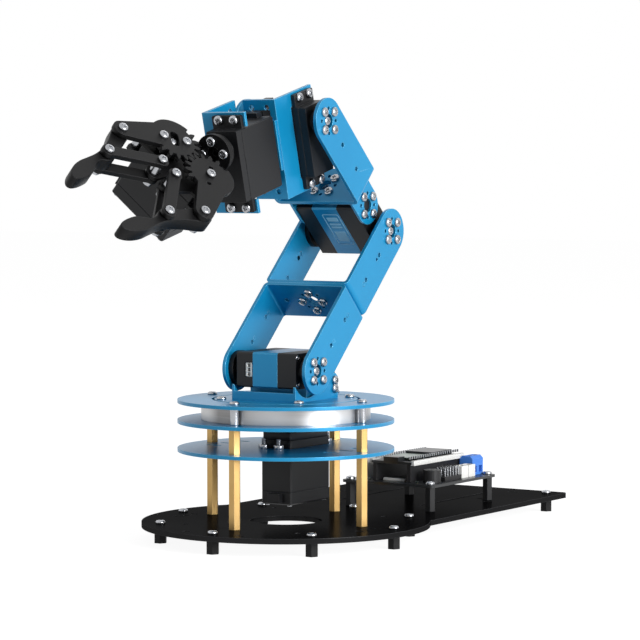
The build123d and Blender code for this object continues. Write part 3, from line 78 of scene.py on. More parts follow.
class Finish:
    """One material, or the light of the world, as a tree of nodes."""

    def __init__(self, name, owner=None):
        self.owner = owner or bpy.data.materials.new(name)
        self.owner.use_nodes = True
        self.tree = self.owner.node_tree
        self.tree.nodes.clear()

    def node(self, kind, settings=None, inputs=None, output=0):
        made = self.tree.nodes.new("ShaderNode" + kind)
        for key, value in (settings or {}).items():
            if key == "stops":
                ramp = made.color_ramp
                while len(ramp.elements) < len(value):
                    ramp.elements.new(0.5)
                for stop, (place, colour) in zip(ramp.elements, value):
                    stop.position = place
                    stop.color = colour
            else:
                setattr(made, key, value)
        for key, value in (inputs or {}).items():
            socket = made.inputs[key]
            if isinstance(value, Value):
                self.tree.links.new(value.socket, socket)
            else:
                socket.default_value = value
        return None if output is None else Value(self, made.outputs[output])

    def place(self):
        return self.node("TexCoord", output="Object")

    def noise(self, scale, detail=2.0, vector=None):
        inputs = {"Scale": scale, "Detail": detail, "Vector": vector or self.place()}
        return self.node("TexNoise", {"noise_dimensions": "3D"}, inputs, "Fac")

    def ramp(self, fac, *stops):
        return self.node("ValToRGB", {"stops": stops}, {"Fac": fac}, "Color")

    def blend(self, fac, a, b):
        return self.node("Mix", {"data_type": "RGBA"}, {0: fac, 6: a, 7: b}, 2)

    def stretch(self, x, y, z):
        return self.node("Mapping", None, {"Scale": (x, y, z), "Vector": self.place()}, "Vector")

    def bump(self, height, distance, strength, normal=None):
        inputs = {"Height": height, "Distance": distance, "Strength": strength}
        if normal is not None:
            inputs["Normal"] = normal
        return self.node("Bump", None, inputs, "Normal")

    def eased(self, radius):
        """Normal of a surface whose edges are rounded off, and how much each spot is edge; the
        finishes paint highlights on edges with this.
        """
        round_off = self.node("Bevel", {"samples": 6}, {"Radius": radius}, "Normal")
        flat = self.node("NewGeometry", output="Normal")
        dot = {"operation": "DOT_PRODUCT"}
        along = self.node("VectorMath", dot, {0: round_off, 1: flat}, "Value")
        clamped = {"operation": "MULTIPLY", "use_clamp": True}
        return round_off, self.node("Math", clamped, {0: 1.0 - along, 1: EDGE_GAIN})

    def principled(self, base, rough, normal, metallic=0.0, specular=0.5):
        inputs = {"Base Color": base, "Roughness": rough, "Normal": normal,
                  "Metallic": metallic, "Specular IOR Level": specular}
        return self.node("BsdfPrincipled", None, inputs, "BSDF")

    def close(self, shader, end="OutputMaterial"):
        """Ends the tree with this shader and gives its owner."""
        self.node(end, None, {"Surface": shader}, None)
        return self.owner

    def surface(self, *terms, **constants):
        return self.close(self.principled(*terms, **constants))

    def seen_by(self, *kinds):
        """1 where a ray of one of these kinds looks, or else 0."""
        seen = 0.0
        for kind in kinds:
            ray = self.node("LightPath", output=kind)
            seen = self.node("Math", {"operation": "MAXIMUM"}, {0: seen, 1: ray})
        return seen


def tone(r, g, b):
    """A display colour of 0 to 255 as linear light."""
    def linear(c):
        c /= 255.0
        return c / 12.92 if c <= 0.04045 else ((c + 0.055) / 1.055) ** 2.4
    return (linear(r), linear(g), linear(b), 1.0)


# Finishes
def blue_anodised():
    f = Finish("blue_anodised")
    round_off, edge = f.eased(0.00045)
    cloud = f.noise(22.0, 3.0)
    grain = f.noise(1500.0, 2.0, vector=f.stretch(1.0, 0.15, 1.0))
    base = f.blend(cloud, tone(4, 126, 176), tone(16, 140, 190))
    # Painted highlight: edges are blended towards a pale blue.
    base = f.blend(edge, base, tone(110, 196, 232))
    normal = f.bump(grain, 0.00001, 0.5, round_off)
    return f.surface(base, 0.28 + 0.08 * grain, normal, 0.28, specular=0.45)


def plastic(name="black_plastic", low=(14, 15, 17), high=(21, 22, 25)):
    f = Finish(name)
    round_off, edge = f.eased(0.0004)
    cloud = f.noise(50.0, 3.0)
    spark = f.noise(3200.0, 2.0)
    # Painted highlight: edges are lighter than the rest of the plastic.
    edge_highlight = tuple(min(255, c + 16) for c in high)
    base = f.blend(edge, f.blend(cloud, tone(*low), tone(*high)), tone(*edge_highlight))
    normal = f.bump(spark, 0.00002, 0.5, round_off)
    return f.surface(base, 0.40 + 0.10 * cloud, normal, specular=0.30)


def black_metal():
    f = Finish("black_metal")
    round_off, edge = f.eased(0.0004)
    cloud = f.noise(45.0, 3.0)
    peel = f.noise(1800.0, 2.0)
    # Painted highlight: edges are blended towards a lighter grey.
    base = f.blend(edge, f.blend(cloud, tone(9, 9, 10), tone(15, 15, 16)), tone(48, 49, 52))
    normal = f.bump(peel, 0.00002, 0.5, round_off)
    return f.surface(base, 0.38 + 0.12 * cloud, normal, specular=0.18)


def deck_black():
    """Satin black sheet: a dull ground with a faint even mirror on it."""
    f = Finish("deck_black")
    round_off, edge = f.eased(0.0005)
    cloud = f.noise(14.0, 3.0)
    smear = f.noise(7.0, 4.0)
    # Painted highlight: edges are blended towards a lighter grey.
    base = f.blend(edge, f.blend(cloud, tone(10, 10, 11), tone(16, 16, 17)), tone(60, 61, 63))
    normal = f.bump(f.noise(1100.0), 0.000006, 0.4, round_off)
    ground = f.principled(base, 0.5, normal, specular=0.0)
    sheen = f.principled(tone(214, 214, 216), 0.16 + 0.10 * smear, normal, 1.0)
    return f.close(f.node("MixShader", None, {0: 0.012 + 0.016 * smear, 1: ground, 2: sheen}))


def steel(name="bright_steel", low=(150, 152, 156), high=(186, 188, 192), rough=0.18):
    f = Finish(name)
    round_off, _ = f.eased(0.00015)
    cloud = f.noise(90.0, 2.0)
    marks = f.noise(2400.0, 2.0, vector=f.stretch(1.0, 1.0, 0.1))
    base = f.blend(cloud, tone(*low), tone(*high))
    return f.surface(base, rough + 0.10 * marks, f.bump(marks, 0.000004, 0.4, round_off), 1.0)


def ring_steel():
    f = Finish("ring_steel")
    round_off, _ = f.eased(0.0004)
    lathe = f.noise(700.0, 2.0, vector=f.stretch(0.02, 0.02, 1.0))
    # Painted reflection: sheen runs along Z, and the base colour follows it in bands of darker and
    # lighter steel.
    sheen = f.noise(26.0, 1.0, vector=f.stretch(1.0, 1.0, 0.02))
    base = f.ramp(sheen, (0.36, tone(118, 116, 114)), (0.64, tone(214, 214, 214)))
    base = f.blend(0.25 * lathe, base, tone(236, 236, 238))
    return f.surface(base, 0.34 + 0.10 * lathe, f.bump(lathe, 0.000006, 0.4, round_off), 1.0)


def pillar_brass():
    f = Finish("pillar_brass")
    round_off, edge = f.eased(0.0003)
    cloud = f.noise(60.0, 3.0)
    marks = f.noise(1800.0, 2.0, vector=f.stretch(1.0, 1.0, 0.04))
    base = f.blend(cloud, tone(162, 130, 78), tone(192, 160, 106))
    # Painted highlight: edges are blended towards a pale brass.
    base = f.blend(edge, base, tone(230, 204, 150))
    return f.surface(base, 0.26 + 0.14 * marks, f.bump(marks, 0.000008, 0.5, round_off), 1.0)


def board_lacquer():
    f = Finish("board_lacquer")
    weave = f.noise(900.0, 2.0)
    base = f.blend(f.noise(40.0), tone(16, 18, 20), tone(28, 31, 34))
    return f.surface(base, 0.26 + 0.10 * weave, f.bump(weave, 0.00001, 0.4))


finishes = {
    "blue_anodised": blue_anodised(),
    "black_plastic": plastic(),
    "black_metal": black_metal(),
    "bright_steel": steel(),
    "ring_steel": ring_steel(),
    "can_metal": steel("can_metal", (120, 132, 126), (150, 160, 154), 0.3),
    "label_plate": plastic("label_plate", (128, 190, 220), (150, 206, 232)),
    "deck_black": deck_black(),
    "pillar_brass": pillar_brass(),
    "board_lacquer": board_lacquer(),
    "terminal_blue": plastic("terminal_blue", (54, 112, 200), (78, 138, 226)),
    "connector_white": plastic("connector_white", (206, 206, 202), (228, 228, 226)),
    "connector_black": plastic("connector_black", (24, 24, 25), (34, 34, 36)),
}

RACES = ("bearing_outer_race", "bearing_inner_race")
slots = {row["node"]: row["material_slot"] for row in frame["record"]["subparts"]}
for node, piece in frame["nodes"].items():
    piece.data.materials.clear()
    piece.data.materials.append(finishes["ring_steel" if node in RACES else slots[node]])


# Shapes
def stacked_rings(name, rings):
    """A solid from rings of equal count, each a list of points; the ends are fanned shut."""
    count = len(rings[0])
    points = [tuple(p) for ring in rings for p in ring]
    faces = []
    for k in range(len(rings) - 1):
        for i in range(count):
            j = (i + 1) % count
            faces.append((k * count + i, k * count + j, (k + 1) * count + j, (k + 1) * count + i))
    faces.append(tuple(reversed(range(count))))
    faces.append(tuple(range(len(points) - count, len(points))))
    mesh = bpy.data.meshes.new(name)
    mesh.from_pydata(points, [], faces)
    mesh.shade_smooth()
    return mesh


def polar_ring(count, z, radius):
    """A ring of points; the radius is a number or a function of the angle."""
    ring = []
    for i in range(count):
        angle = 2 * math.pi * i / count
        r = radius(angle) if callable(radius) else radius
        ring.append((r * math.cos(angle), r * math.sin(angle), z))
    return ring


def cross_radius(reach, half_width):
    def radius(angle):
        c, s = abs(math.cos(angle)), abs(math.sin(angle))
        big, small = max(c, s), min(c, s)
        return min(reach / big, half_width / small if small > 1e-6 else reach)
    return radius


def hexagon_radius(flat):
    def radius(angle):
        off = (angle + math.pi / 6) % (math.pi / 3) - math.pi / 6
        return flat / math.cos(off)
    return radius


def template(name, rings):
    return bpy.data.objects.new(name, stacked_rings(name, rings))


def turned(name, count, *profile):
    """A template about Z through rows of height and radius."""
    return template(name, [polar_ring(count, z, radius) for z, radius in profile])


def squared(name, *profile):
    """A square template about Z through rows of height and half width."""
    corners = ((1, 1), (-1, 1), (-1, -1), (1, -1))
    return template(name, [[(half * x, half * y, z) for x, y in corners] for z, half in profile])


HEAD_COUNT = 24
THREAD_COUNT = 12


def pan_head():
    return turned("pan_head", HEAD_COUNT, (0.0, 0.97), (0.06, 1.0), (0.46, 1.0), (0.72, 0.94),
                  (0.90, 0.80), (0.985, 0.62), (1.0, cross_radius(0.50, 0.17)),
                  (0.55, cross_radius(0.38, 0.12)), (0.42, 0.08))


def hex_nut():
    wide = hexagon_radius(math.cos(math.pi / 6))

    def bevel(angle):
        return min(wide(angle), 0.91)

    return turned("hex_nut", HEAD_COUNT, (0.35, 0.47), (0.0, 0.52), (0.0, bevel), (0.10, wide),
                  (0.90, wide), (1.0, bevel), (1.0, 0.52), (0.65, 0.47))


def thread_turn():
    return turned("thread_turn", THREAD_COUNT, (0.0, 0.84), (0.5, 1.0), (1.0, 0.84))


def turned_sleeve():
    return turned("turned_sleeve", HEAD_COUNT, (0.0, 0.9), (0.03, 1.0), (0.97, 1.0), (1.0, 0.9))


def square_pin():
    return squared("square_pin", (0.0, 1.0), (0.88, 1.0), (1.0, 0.45))


def moulded_cell():
    return squared("moulded_cell", (0.0, 0.94), (0.08, 1.0), (0.90, 1.0), (1.0, 0.90))


templates = {"head": pan_head(), "nut": hex_nut(), "thread": thread_turn(),
             "sleeve": turned_sleeve(), "pin": square_pin(), "cell": moulded_cell()}


def repeat_tree():
    """Geometry nodes: one template on each point, turned and sized by the point's attributes."""
    tree = bpy.data.node_groups.new("repeat_on_points", "GeometryNodeTree")
    face = tree.interface
    face.new_socket("Points", in_out="INPUT", socket_type="NodeSocketGeometry")
    face.new_socket("Template", in_out="INPUT", socket_type="NodeSocketObject")
    face.new_socket("Finish", in_out="INPUT", socket_type="NodeSocketMaterial")
    face.new_socket("Pieces", in_out="OUTPUT", socket_type="NodeSocketGeometry")
    add, wire = tree.nodes.new, tree.links.new
    enter, leave = add("NodeGroupInput"), add("NodeGroupOutput")
    info = add("GeometryNodeObjectInfo")
    info.transform_space = "ORIGINAL"
    placed = add("GeometryNodeInstanceOnPoints")
    for name, socket in (("turn", "Rotation"), ("size", "Scale")):
        given = add("GeometryNodeInputNamedAttribute")
        given.data_type = "FLOAT_VECTOR"
        given.inputs["Name"].default_value = name
        wire(given.outputs["Attribute"], placed.inputs[socket])
    real = add("GeometryNodeRealizeInstances")
    paint = add("GeometryNodeSetMaterial")
    wire(enter.outputs["Template"], info.inputs["Object"])
    wire(enter.outputs["Points"], placed.inputs["Points"])
    wire(info.outputs["Geometry"], placed.inputs["Instance"])
    wire(placed.outputs["Instances"], real.inputs["Geometry"])
    wire(real.outputs["Geometry"], paint.inputs["Geometry"])
    wire(enter.outputs["Finish"], paint.inputs["Material"])
    wire(paint.outputs["Geometry"], leave.inputs["Pieces"])
    return tree


REPEAT = repeat_tree()
SOFT_CREASE = 38
SHARP_CREASE = 4


def repeated(kind, spots, finish):
    """The mesh of one template put at every spot: (point, turn as Euler, size)."""
    points = bpy.data.meshes.new("spots")
    points.from_pydata([tuple(s[0]) for s in spots], [], [])
    for name, k in (("turn", 1), ("size", 2)):
        data = points.attributes.new(name, "FLOAT_VECTOR", "POINT")
        data.data.foreach_set("vector", [c for s in spots for c in s[k]])
    carrier = bpy.data.objects.new("spots", points)
    scene.collection.objects.link(carrier)
    nodes = carrier.modifiers.new("repeat", "NODES")
    nodes.node_group = REPEAT
    sockets = {item.name: item.identifier for item in REPEAT.interface.items_tree
               if item.in_out == "INPUT"}
    nodes[sockets["Template"]] = templates[kind]
    nodes[sockets["Finish"]] = finishes[finish]
    graph = bpy.context.evaluated_depsgraph_get()
    mesh = bpy.data.meshes.new_from_object(carrier.evaluated_get(graph), depsgraph=graph)
    carrier.modifiers.remove(nodes)
    bpy.data.objects.remove(carrier)
    return mesh


def joined(name, meshes, finish, body, crease=SOFT_CREASE):
    """One piece of these meshes, riding on a body, with its material slot."""
    made = bmesh.new()
    for mesh in meshes:
        made.from_mesh(mesh)
    whole = bpy.data.meshes.new(name)
    made.to_mesh(whole)
    made.free()
    whole.materials.append(finishes[finish])
    whole.shade_smooth()
    whole.set_sharp_from_angle(angle=math.radians(crease))
    piece = bpy.data.objects.new(name, whole)
    scene.collection.objects.link(piece)
    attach(piece, body)
    return piece


# Frames of the arm
def tilt_axes(tilt):
    turn = Matrix.Rotation(math.radians(tilt), 3, "X")
    return [turn @ Vector(v) for v in ((1, 0, 0), (0, 1, 0), (0, 0, 1))]


LINK_TILT = -45.7
FOREARM_TILT = 47.0
WRIST_TILT = 14.5
GRIP_ROLL = 45.0
GRIP_TURN = (Matrix.Rotation(math.radians(WRIST_TILT), 3, "X")
             @ Matrix.Rotation(math.radians(GRIP_ROLL), 3, "Y"))
SHOULDER_AT = (-9.85, 89.4)
ELBOW_AT = (68.876, 166.226)
WRIST_AT = (1.591, 228.970)


def frame_at(y, z, tilt=0.0):
    """The frame at this place in mm in the arm's plane, tilted about X."""
    return Matrix.Translation((0, y * MM, z * MM)) @ Matrix.Rotation(math.radians(tilt), 4, "X")


def seat(origin, x, y, z):
    """The frame with these axes, its origin in mm."""
    turn = Matrix((x, y, z)).transposed().to_4x4()
    return Matrix.Translation([c * MM for c in origin]) @ turn


SHOULDER = frame_at(*SHOULDER_AT)
LOWER_LINK = frame_at(*SHOULDER_AT, LINK_TILT)
ELBOW = frame_at(*ELBOW_AT, LINK_TILT)
FOREARM = frame_at(*ELBOW_AT, FOREARM_TILT)
FOREARM_END = frame_at(*WRIST_AT, FOREARM_TILT)
WRIST = frame_at(*WRIST_AT, WRIST_TILT)
GRIP = (WRIST @ Matrix.Translation((0, -72.6 * MM, 0))
        @ Matrix.Rotation(math.radians(GRIP_ROLL), 4, "Y"))
BASE_SERVO = seat((0, 0, 12.8), (1, 0, 0), (0, 1, 0), (0, 0, 1))
PITCH_SERVO = WRIST @ seat((-16.5, 0, 0), (0, -1, 0), (0, 0, -1), (1, 0, 0))
ROLL_SERVO = WRIST @ seat((0, -28.1, 0), (-1, 0, 0), (0, 0, -1), (0, -1, 0))
GRIP_SERVO = GRIP @ seat((-13.91, -28, -40.6), (0, -1, 0), (1, 0, 0), (0, 0, 1))
GEAR_X = 13.91
GEAR_Y = -28.0
PIVOT = (31.887, -54.955)
LINK_BASE = (5.21, -50.2)
LINK_TIP = (23.187, -77.155)
DIRECTIONS = [Vector((1, 0, 0)), Vector((0, 1, 0)), Vector((0, 0, 1))]
for tilt in (LINK_TILT, FOREARM_TILT, WRIST_TILT):
    DIRECTIONS += tilt_axes(tilt)[1:]
DIRECTIONS += [GRIP_TURN @ Vector(v) for v in ((1, 0, 0), (0, 0, 1))]


def welded(node):
    """A CAD node's mesh with its doubled points merged, open for reading or changing."""
    work = bmesh.new()
    work.from_mesh(frame["nodes"][node].data)
    bmesh.ops.remove_doubles(work, verts=work.verts, dist=1e-6)
    return work


def solids_of(node):
    """The separate solids of a CAD node, as lists of points."""
    work = welded(node)
    left, found = set(work.verts), []
    while left:
        stack, island = [left.pop()], []
        while stack:
            v = stack.pop()
            island.append(v.co.copy())
            for edge in v.link_edges:
                other = edge.other_vert(v)
                if other in left:
                    left.remove(other)
                    stack.append(other)
        found.append(island)
    work.free()
    return sorted(found, key=lambda island: tuple(round(c, 5) for c in island[0]))


# How finely a fastener's points are sorted, in mm, and how its middle line is found
LEVEL_STEP = 0.02
RADIUS_STEP = 0.05
CENTRE_ROUNDS = 30
CENTRE_SHARE = 0.02


def stations(points, axis):
    """The heights along the axis at which points lie, with the points of each."""
    groups = {}
    for p in points:
        groups.setdefault(round(p.dot(axis) / (LEVEL_STEP * MM)), []).append(p)
    merged = []
    for key in sorted(groups):
        if merged and key - merged[-1][0] <= 1:
            merged[-1][1].extend(groups[key])
        else:
            merged.append([key, groups[key]])
    return [(sum(p.dot(axis) for p in ps) / len(ps), ps) for _, ps in merged]


def turned_sections(points):
    """A fastener's axis, its middle line and the stretches of one radius along it."""
    axis = min(DIRECTIONS, key=lambda d: len(stations(points, d)))
    levels = stations(points, axis)
    side = axis.orthogonal().normalized()
    across = axis.cross(side)
    flat = [(p.dot(side), p.dot(across)) for p in levels[0][1]]
    mid_a = (min(f[0] for f in flat) + max(f[0] for f in flat)) / 2
    mid_b = (min(f[1] for f in flat) + max(f[1] for f in flat)) / 2
    for _ in range(CENTRE_ROUNDS):
        spread = [(math.hypot(a - mid_a, b - mid_b), a, b) for a, b in flat]
        far = max(spread)
        near = min(spread)
        mid_a += (far[1] - mid_a) * CENTRE_SHARE * (far[0] - near[0]) / max(far[0], 1e-9)
        mid_b += (far[2] - mid_b) * CENTRE_SHARE * (far[0] - near[0]) / max(far[0], 1e-9)
    middle = side * mid_a + across * mid_b

    def radii(ps):
        kinds = {}
        for p in ps:
            r = (p - axis * p.dot(axis) - middle).length
            kinds.setdefault(round(r / (RADIUS_STEP * MM)), []).append(p)
        return kinds

    parts = []
    for (t0, low), (t1, high) in zip(levels, levels[1:]):
        a, b = radii(low), radii(high)
        shared = [(k, a[k]) for k in a if any(abs(k - j) <= 1 for j in b)]
        if shared:
            key, ring = max(shared)
            parts.append((t0, t1, key * RADIUS_STEP * MM, len(ring), ring[0]))
    return axis, middle, parts


# What tells the stretches of a fastener apart: corners of a ring, and sizes in mm
HEAD_CORNERS = 10
NUT_CORNERS = 6
ROUND_CORNERS = 8
WIDE = 2.0
SHALLOW = 2.2
SHANK = 1.62
THREAD_PITCH = 0.5


def fastener_spots(node):
    """Where each head, nut, thread turn and sleeve of a CAD fastener node goes."""
    spots = {"head": [], "nut": [], "thread": [], "sleeve": []}
    for points in solids_of(node):
        axis, middle, parts = turned_sections(points)
        if not parts:
            continue
        slim = min(parts, key=lambda part: part[2])
        heart = (slim[0] + slim[1]) / 2
        for t0, t1, radius, count, sample in parts:
            length = t1 - t0
            up = axis if (t0 + t1) / 2 >= heart else -axis
            foot = middle + axis * (t0 if up is axis else t1)
            out = (sample - axis * sample.dot(axis) - middle).normalized()
            turn = Matrix((out, up.cross(out), up)).transposed().to_euler()
            wide, shallow = radius > WIDE * MM, length < SHALLOW * MM
            if count == HEAD_CORNERS or wide and shallow and count > ROUND_CORNERS:
                spots["head"].append((foot, turn, (radius, radius, length)))
            elif wide and count == NUT_CORNERS:
                spots["nut"].append((foot, turn, (radius, radius, length)))
            elif radius < SHANK * MM:
                turns = max(1, round(length / (THREAD_PITCH * MM)))
                for k in range(turns):
                    at = foot + up * (length * k / turns)
                    spots["thread"].append((at, turn, (radius, radius, length / turns)))
            else:
                spots["sleeve"].append((foot, turn, (radius, radius, length)))
    return spots


HUB_REACH = 9


def swing_spots(spots, place, angle):
    """Turns the spots within reach of the Z axis of a frame about that axis."""
    turn = place @ Matrix.Rotation(math.radians(angle), 4, "Z") @ place.inverted()
    for rows in spots.values():
        for i, (foot, euler, size) in enumerate(rows):
            local = place.inverted() @ foot
            if math.hypot(local.x, local.y) < HUB_REACH * MM:
                rows[i] = (turn @ foot, (turn.to_3x3() @ euler.to_matrix()).to_euler(), size)


X_UP = Matrix.Rotation(math.radians(90), 4, "Y")
UPSIDE_DOWN = Matrix.Rotation(math.pi, 4, "X")
CAGE_HUB = FOREARM @ Matrix.Translation((0, 0, 22 * MM)) @ X_UP
DRIVEN_GEAR = GRIP @ Matrix.Translation((-GEAR_X * MM, GEAR_Y * MM, 0))
SWINGS = {
    "arm_hub_screws": [(LOWER_LINK @ X_UP, 45), (ELBOW @ X_UP, 45)],
    "forearm_screws": [(CAGE_HUB, 45)],
    "wrist_hub_screws": [(FOREARM_END @ X_UP, 45)],
    "link_bolts": [(LOWER_LINK, 45)],
    "driven_arm_screws": [(DRIVEN_GEAR, 102)],
}


def fasteners(node, body):
    spots = fastener_spots(node)
    for place, angle in SWINGS.get(node, []):
        swing_spots(spots, place, angle)
    meshes = [repeated(kind, spots[kind], "bright_steel") for kind in spots if spots[kind]]
    piece = joined(node + "_detailed", meshes, "bright_steel", body)
    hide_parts(node)


FASTENER_NODES = {
    "base_screws": "base", "turntable_screws": "turntable", "arm_hub_screws": "upper_arm",
    "link_bolts": "upper_arm", "forearm_screws": "forearm", "wrist_hub_screws": "forearm",
    "wrist_screws": "wrist", "palm_screws": "palm", "palm_pins": "palm",
    "driven_arm_screws": "driven_arm", "idle_arm_pin": "idle_arm", "ring_spacers": "base",
}
for fastener_node, fastener_body in FASTENER_NODES.items():
    fasteners(fastener_node, fastener_body)


# Plates with eased edges
CIRCLE_COUNT = 28
CORNER_STEPS = 4


def circle_loop(x, y, radius):
    angles = [2 * math.pi * i / CIRCLE_COUNT for i in range(CIRCLE_COUNT)]
    return [(x + radius * math.cos(a), y + radius * math.sin(a)) for a in angles]


def block_loop(x0, x1, y0, y1, corner):
    """A block with round corners."""
    loop = []
    for cx, cy, start in ((x1 - corner, y1 - corner, 0), (x0 + corner, y1 - corner, 90),
                          (x0 + corner, y0 + corner, 180), (x1 - corner, y0 + corner, 270)):
        for i in range(CORNER_STEPS + 1):
            a = math.radians(start + 90 / CORNER_STEPS * i)
            loop.append((cx + corner * math.cos(a), cy + corner * math.sin(a)))
    return loop


def slot_loop(x, y, length, width, angle):
    """A slot with round ends, turned by an angle."""
    a, half, r = math.radians(angle), (length - width) / 2, width / 2
    loop = []
    for sign in (1, -1):
        for i in range(2 * CORNER_STEPS + 1):
            t = math.radians(-90 + 90 / CORNER_STEPS * i) + (0 if sign > 0 else math.pi)
            u, v = sign * half + r * math.cos(t), r * math.sin(t)
            loop.append((x + u * math.cos(a) - v * math.sin(a),
                         y + u * math.sin(a) + v * math.cos(a)))
    return loop


def area_of(loop):
    return sum(a[0] * b[1] - b[0] * a[1] for a, b in zip(loop, loop[1:] + loop[:1])) / 2


def plate(loops, z0, z1, place, ease):
    """A flat plate with eased edges, in mm: the first loop is the outline, the rest are holes."""
    curve = bpy.data.curves.new("outline", "CURVE")
    curve.dimensions = "2D"
    curve.fill_mode = "BOTH"
    curve.extrude = ((z1 - z0) / 2 - ease) * MM
    curve.bevel_depth = ease * MM
    curve.bevel_resolution = 1
    curve.offset = -ease * MM
    for k, loop in enumerate(loops):
        if (area_of(loop) > 0) != (k == 0):
            loop = loop[::-1]
        spline = curve.splines.new("POLY")
        spline.points.add(len(loop) - 1)
        for point, (x, y) in zip(spline.points, loop):
            point.co = (x * MM, y * MM, 0, 1)
        spline.use_cyclic_u = True
    carrier = bpy.data.objects.new("outline", curve)
    scene.collection.objects.link(carrier)
    graph = bpy.context.evaluated_depsgraph_get()
    mesh = bpy.data.meshes.new_from_object(carrier.evaluated_get(graph), depsgraph=graph)
    bpy.data.objects.remove(carrier)
    mesh.transform(place @ Matrix.Translation((0, 0, (z0 + z1) / 2 * MM)))
    mesh.materials.clear()
    return mesh


def plate_loops(node, place, z):
    """The loops round a CAD plate's upper face, the outline first, in mm in the plate's frame."""
    work = welded(node)
    bmesh.ops.transform(work, matrix=place.inverted(), verts=work.verts)
    work.normal_update()
    top = {face for face in work.faces
           if face.normal.z > 0.99 and abs(face.verts[0].co.z / MM - z) < 0.02}
    rim = {}
    for face in top:
        for loop in face.loops:
            if sum(other in top for other in loop.edge.link_faces) == 1:
                rim[loop.vert] = loop.link_loop_next.vert
    loops = []
    while rim:
        start, v = next(iter(rim.items()))
        loop = [(start.co.x / MM, start.co.y / MM)]
        del rim[start]
        while v in rim:
            loop.append((v.co.x / MM, v.co.y / MM))
            v = rim.pop(v)
        loops.append(loop)
    work.free()
    return sorted(loops, key=lambda loop: -abs(area_of(loop)))


def middle_of(loop):
    return (sum(p[0] for p in loop) / len(loop), sum(p[1] for p in loop) / len(loop))


def put(kind, place, rows, finish="bright_steel"):
    """A template along Z of a frame, at rows of place in mm, radius and height."""
    turn = place.to_3x3().to_euler()
    spots = [(place @ (Vector(at) * MM), turn, (radius * MM, radius * MM, height * MM))
             for at, radius, height in rows]
    return repeated(kind, spots, finish)


# Gripper in mm: its plates' two faces above its middle plane, half a finger's thickness, holes
PLATE_LOW = 4.4
PLATE_TOP = 7.4
FINGER_HALF = 4.0
PIN_HOLE = 1.6
SET_HOLE = 1.25
HORN_CIRCLE = 7.0
SLOT_TURN = -40


# Gear arms, with their screw holes and slot where the real ones are
def gear_arm(node, body, side):
    loops = plate_loops(node, GRIP, PLATE_TOP)
    pivot = (side * PIVOT[0], PIVOT[1])
    kept = [loops[0]] + [hole for hole in loops[1:] if math.dist(middle_of(hole), pivot) < 4]
    gx = side * GEAR_X
    if side < 0:
        a = math.radians(SLOT_TURN + 90)
        kept.append(slot_loop(gx, GEAR_Y, 11.0, 5.0, SLOT_TURN))
        for reach in (-HORN_CIRCLE, HORN_CIRCLE):
            x, y = gx + reach * math.cos(a), GEAR_Y + reach * math.sin(a)
            kept.append(circle_loop(x, y, PIN_HOLE))
    else:
        kept.append(circle_loop(gx, GEAR_Y, PIN_HOLE))
        kept.append(circle_loop(gx - 3.4, GEAR_Y + 4.6, SET_HOLE))
        kept.append(circle_loop(gx + 4.4, GEAR_Y - 6.6, SET_HOLE))
    eased = plate(kept, PLATE_LOW, PLATE_TOP, GRIP, 0.2)
    piece = joined(node + "_eased", [eased], "black_metal", body)
    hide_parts(node)


gear_arm("driven_gear_arm", "driven_arm", -1)
gear_arm("idle_gear_arm", "idle_arm", 1)


# Links: two slim bars on one pin
FLARE = 0.35
END_STEPS = 16


def bar_loop(x0, y0, x1, y1, end, half):
    """A bar with round ends wider than its middle."""
    length, turn = math.hypot(x1 - x0, y1 - y0), math.atan2(y1 - y0, x1 - x0)
    open_angle = math.asin(half / end)
    sweep = 2 * math.pi - 2 * open_angle - 2 * FLARE
    loop = []
    for centre, start in ((length, -math.pi + open_angle + FLARE), (0.0, open_angle + FLARE)):
        for i in range(END_STEPS + 1):
            t = start + sweep * i / END_STEPS
            loop.append((centre + end * math.cos(t), end * math.sin(t)))
    c, s = math.cos(turn), math.sin(turn)
    return [(x0 + u * c - v * s, y0 + u * s + v * c) for u, v in loop]


def link(node, body, side):
    loop = bar_loop(side * LINK_BASE[0], LINK_BASE[1], side * LINK_TIP[0], LINK_TIP[1], 4.0, 2.5)
    hole = circle_loop(side * LINK_BASE[0], LINK_BASE[1], PIN_HOLE)
    bars = [plate([loop, hole], z0, z0 + PLATE_TOP - PLATE_LOW, GRIP, 0.3)
            for z0 in (PLATE_LOW, -PLATE_TOP)]
    piece = joined(node + "_bars", bars, "black_metal", body)
    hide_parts(node)
    x, y = side * LINK_TIP[0], LINK_TIP[1]
    under = GRIP @ UPSIDE_DOWN
    pin = [put("head", GRIP, [((x, y, PLATE_TOP), 2.75, 1.8)]),
           put("nut", under, [((x, -y, PLATE_TOP), 2.7, 2.4)]),
           put("sleeve", GRIP, [((x, y, -PLATE_TOP), 1.5, 2 * PLATE_TOP)])]
    joined(node + "_pin", pin, "bright_steel", body)


link("left_link", "left_link", -1)
link("right_link", "right_link", 1)


# Fingers: a tapered neck that swells into a rounded pad; inward and forward from the pivot
FINGER = [(-3.4, 3.6), (-5.2, -0.5), (-4.6, -3.8), (-1.0, -5.0), (3.5, -4.2), (6.0, 1.0),
          (8.4, 10.0), (11.6, 16.0), (13.2, 20.5), (12.8, 24.5), (10.9, 28.5), (11.0, 33.0),
          (13.4, 37.4), (15.6, 41.8), (16.2, 47.0), (16.0, 52.0), (14.8, 55.6), (12.2, 56.2),
          (9.4, 53.4), (7.2, 48.6), (6.0, 42.5), (6.0, 36.0), (5.9, 29.0), (4.8, 22.0),
          (2.4, 14.5), (-0.6, 8.5)]


CURVE_STEPS = 4


def flowing(points):
    """A smooth closed line through the points."""
    n, line = len(points), []
    for i in range(n):
        a, b, c, d = (Vector(points[(i + k) % n]) for k in (-1, 0, 1, 2))
        for k in range(CURVE_STEPS):
            t = k / CURVE_STEPS
            line.append(tuple(0.5 * (2 * b + (c - a) * t + (2 * a - 5 * b + 4 * c - d) * t * t
                                     + (3 * b - a - 3 * c + d) * t * t * t)))
    return line


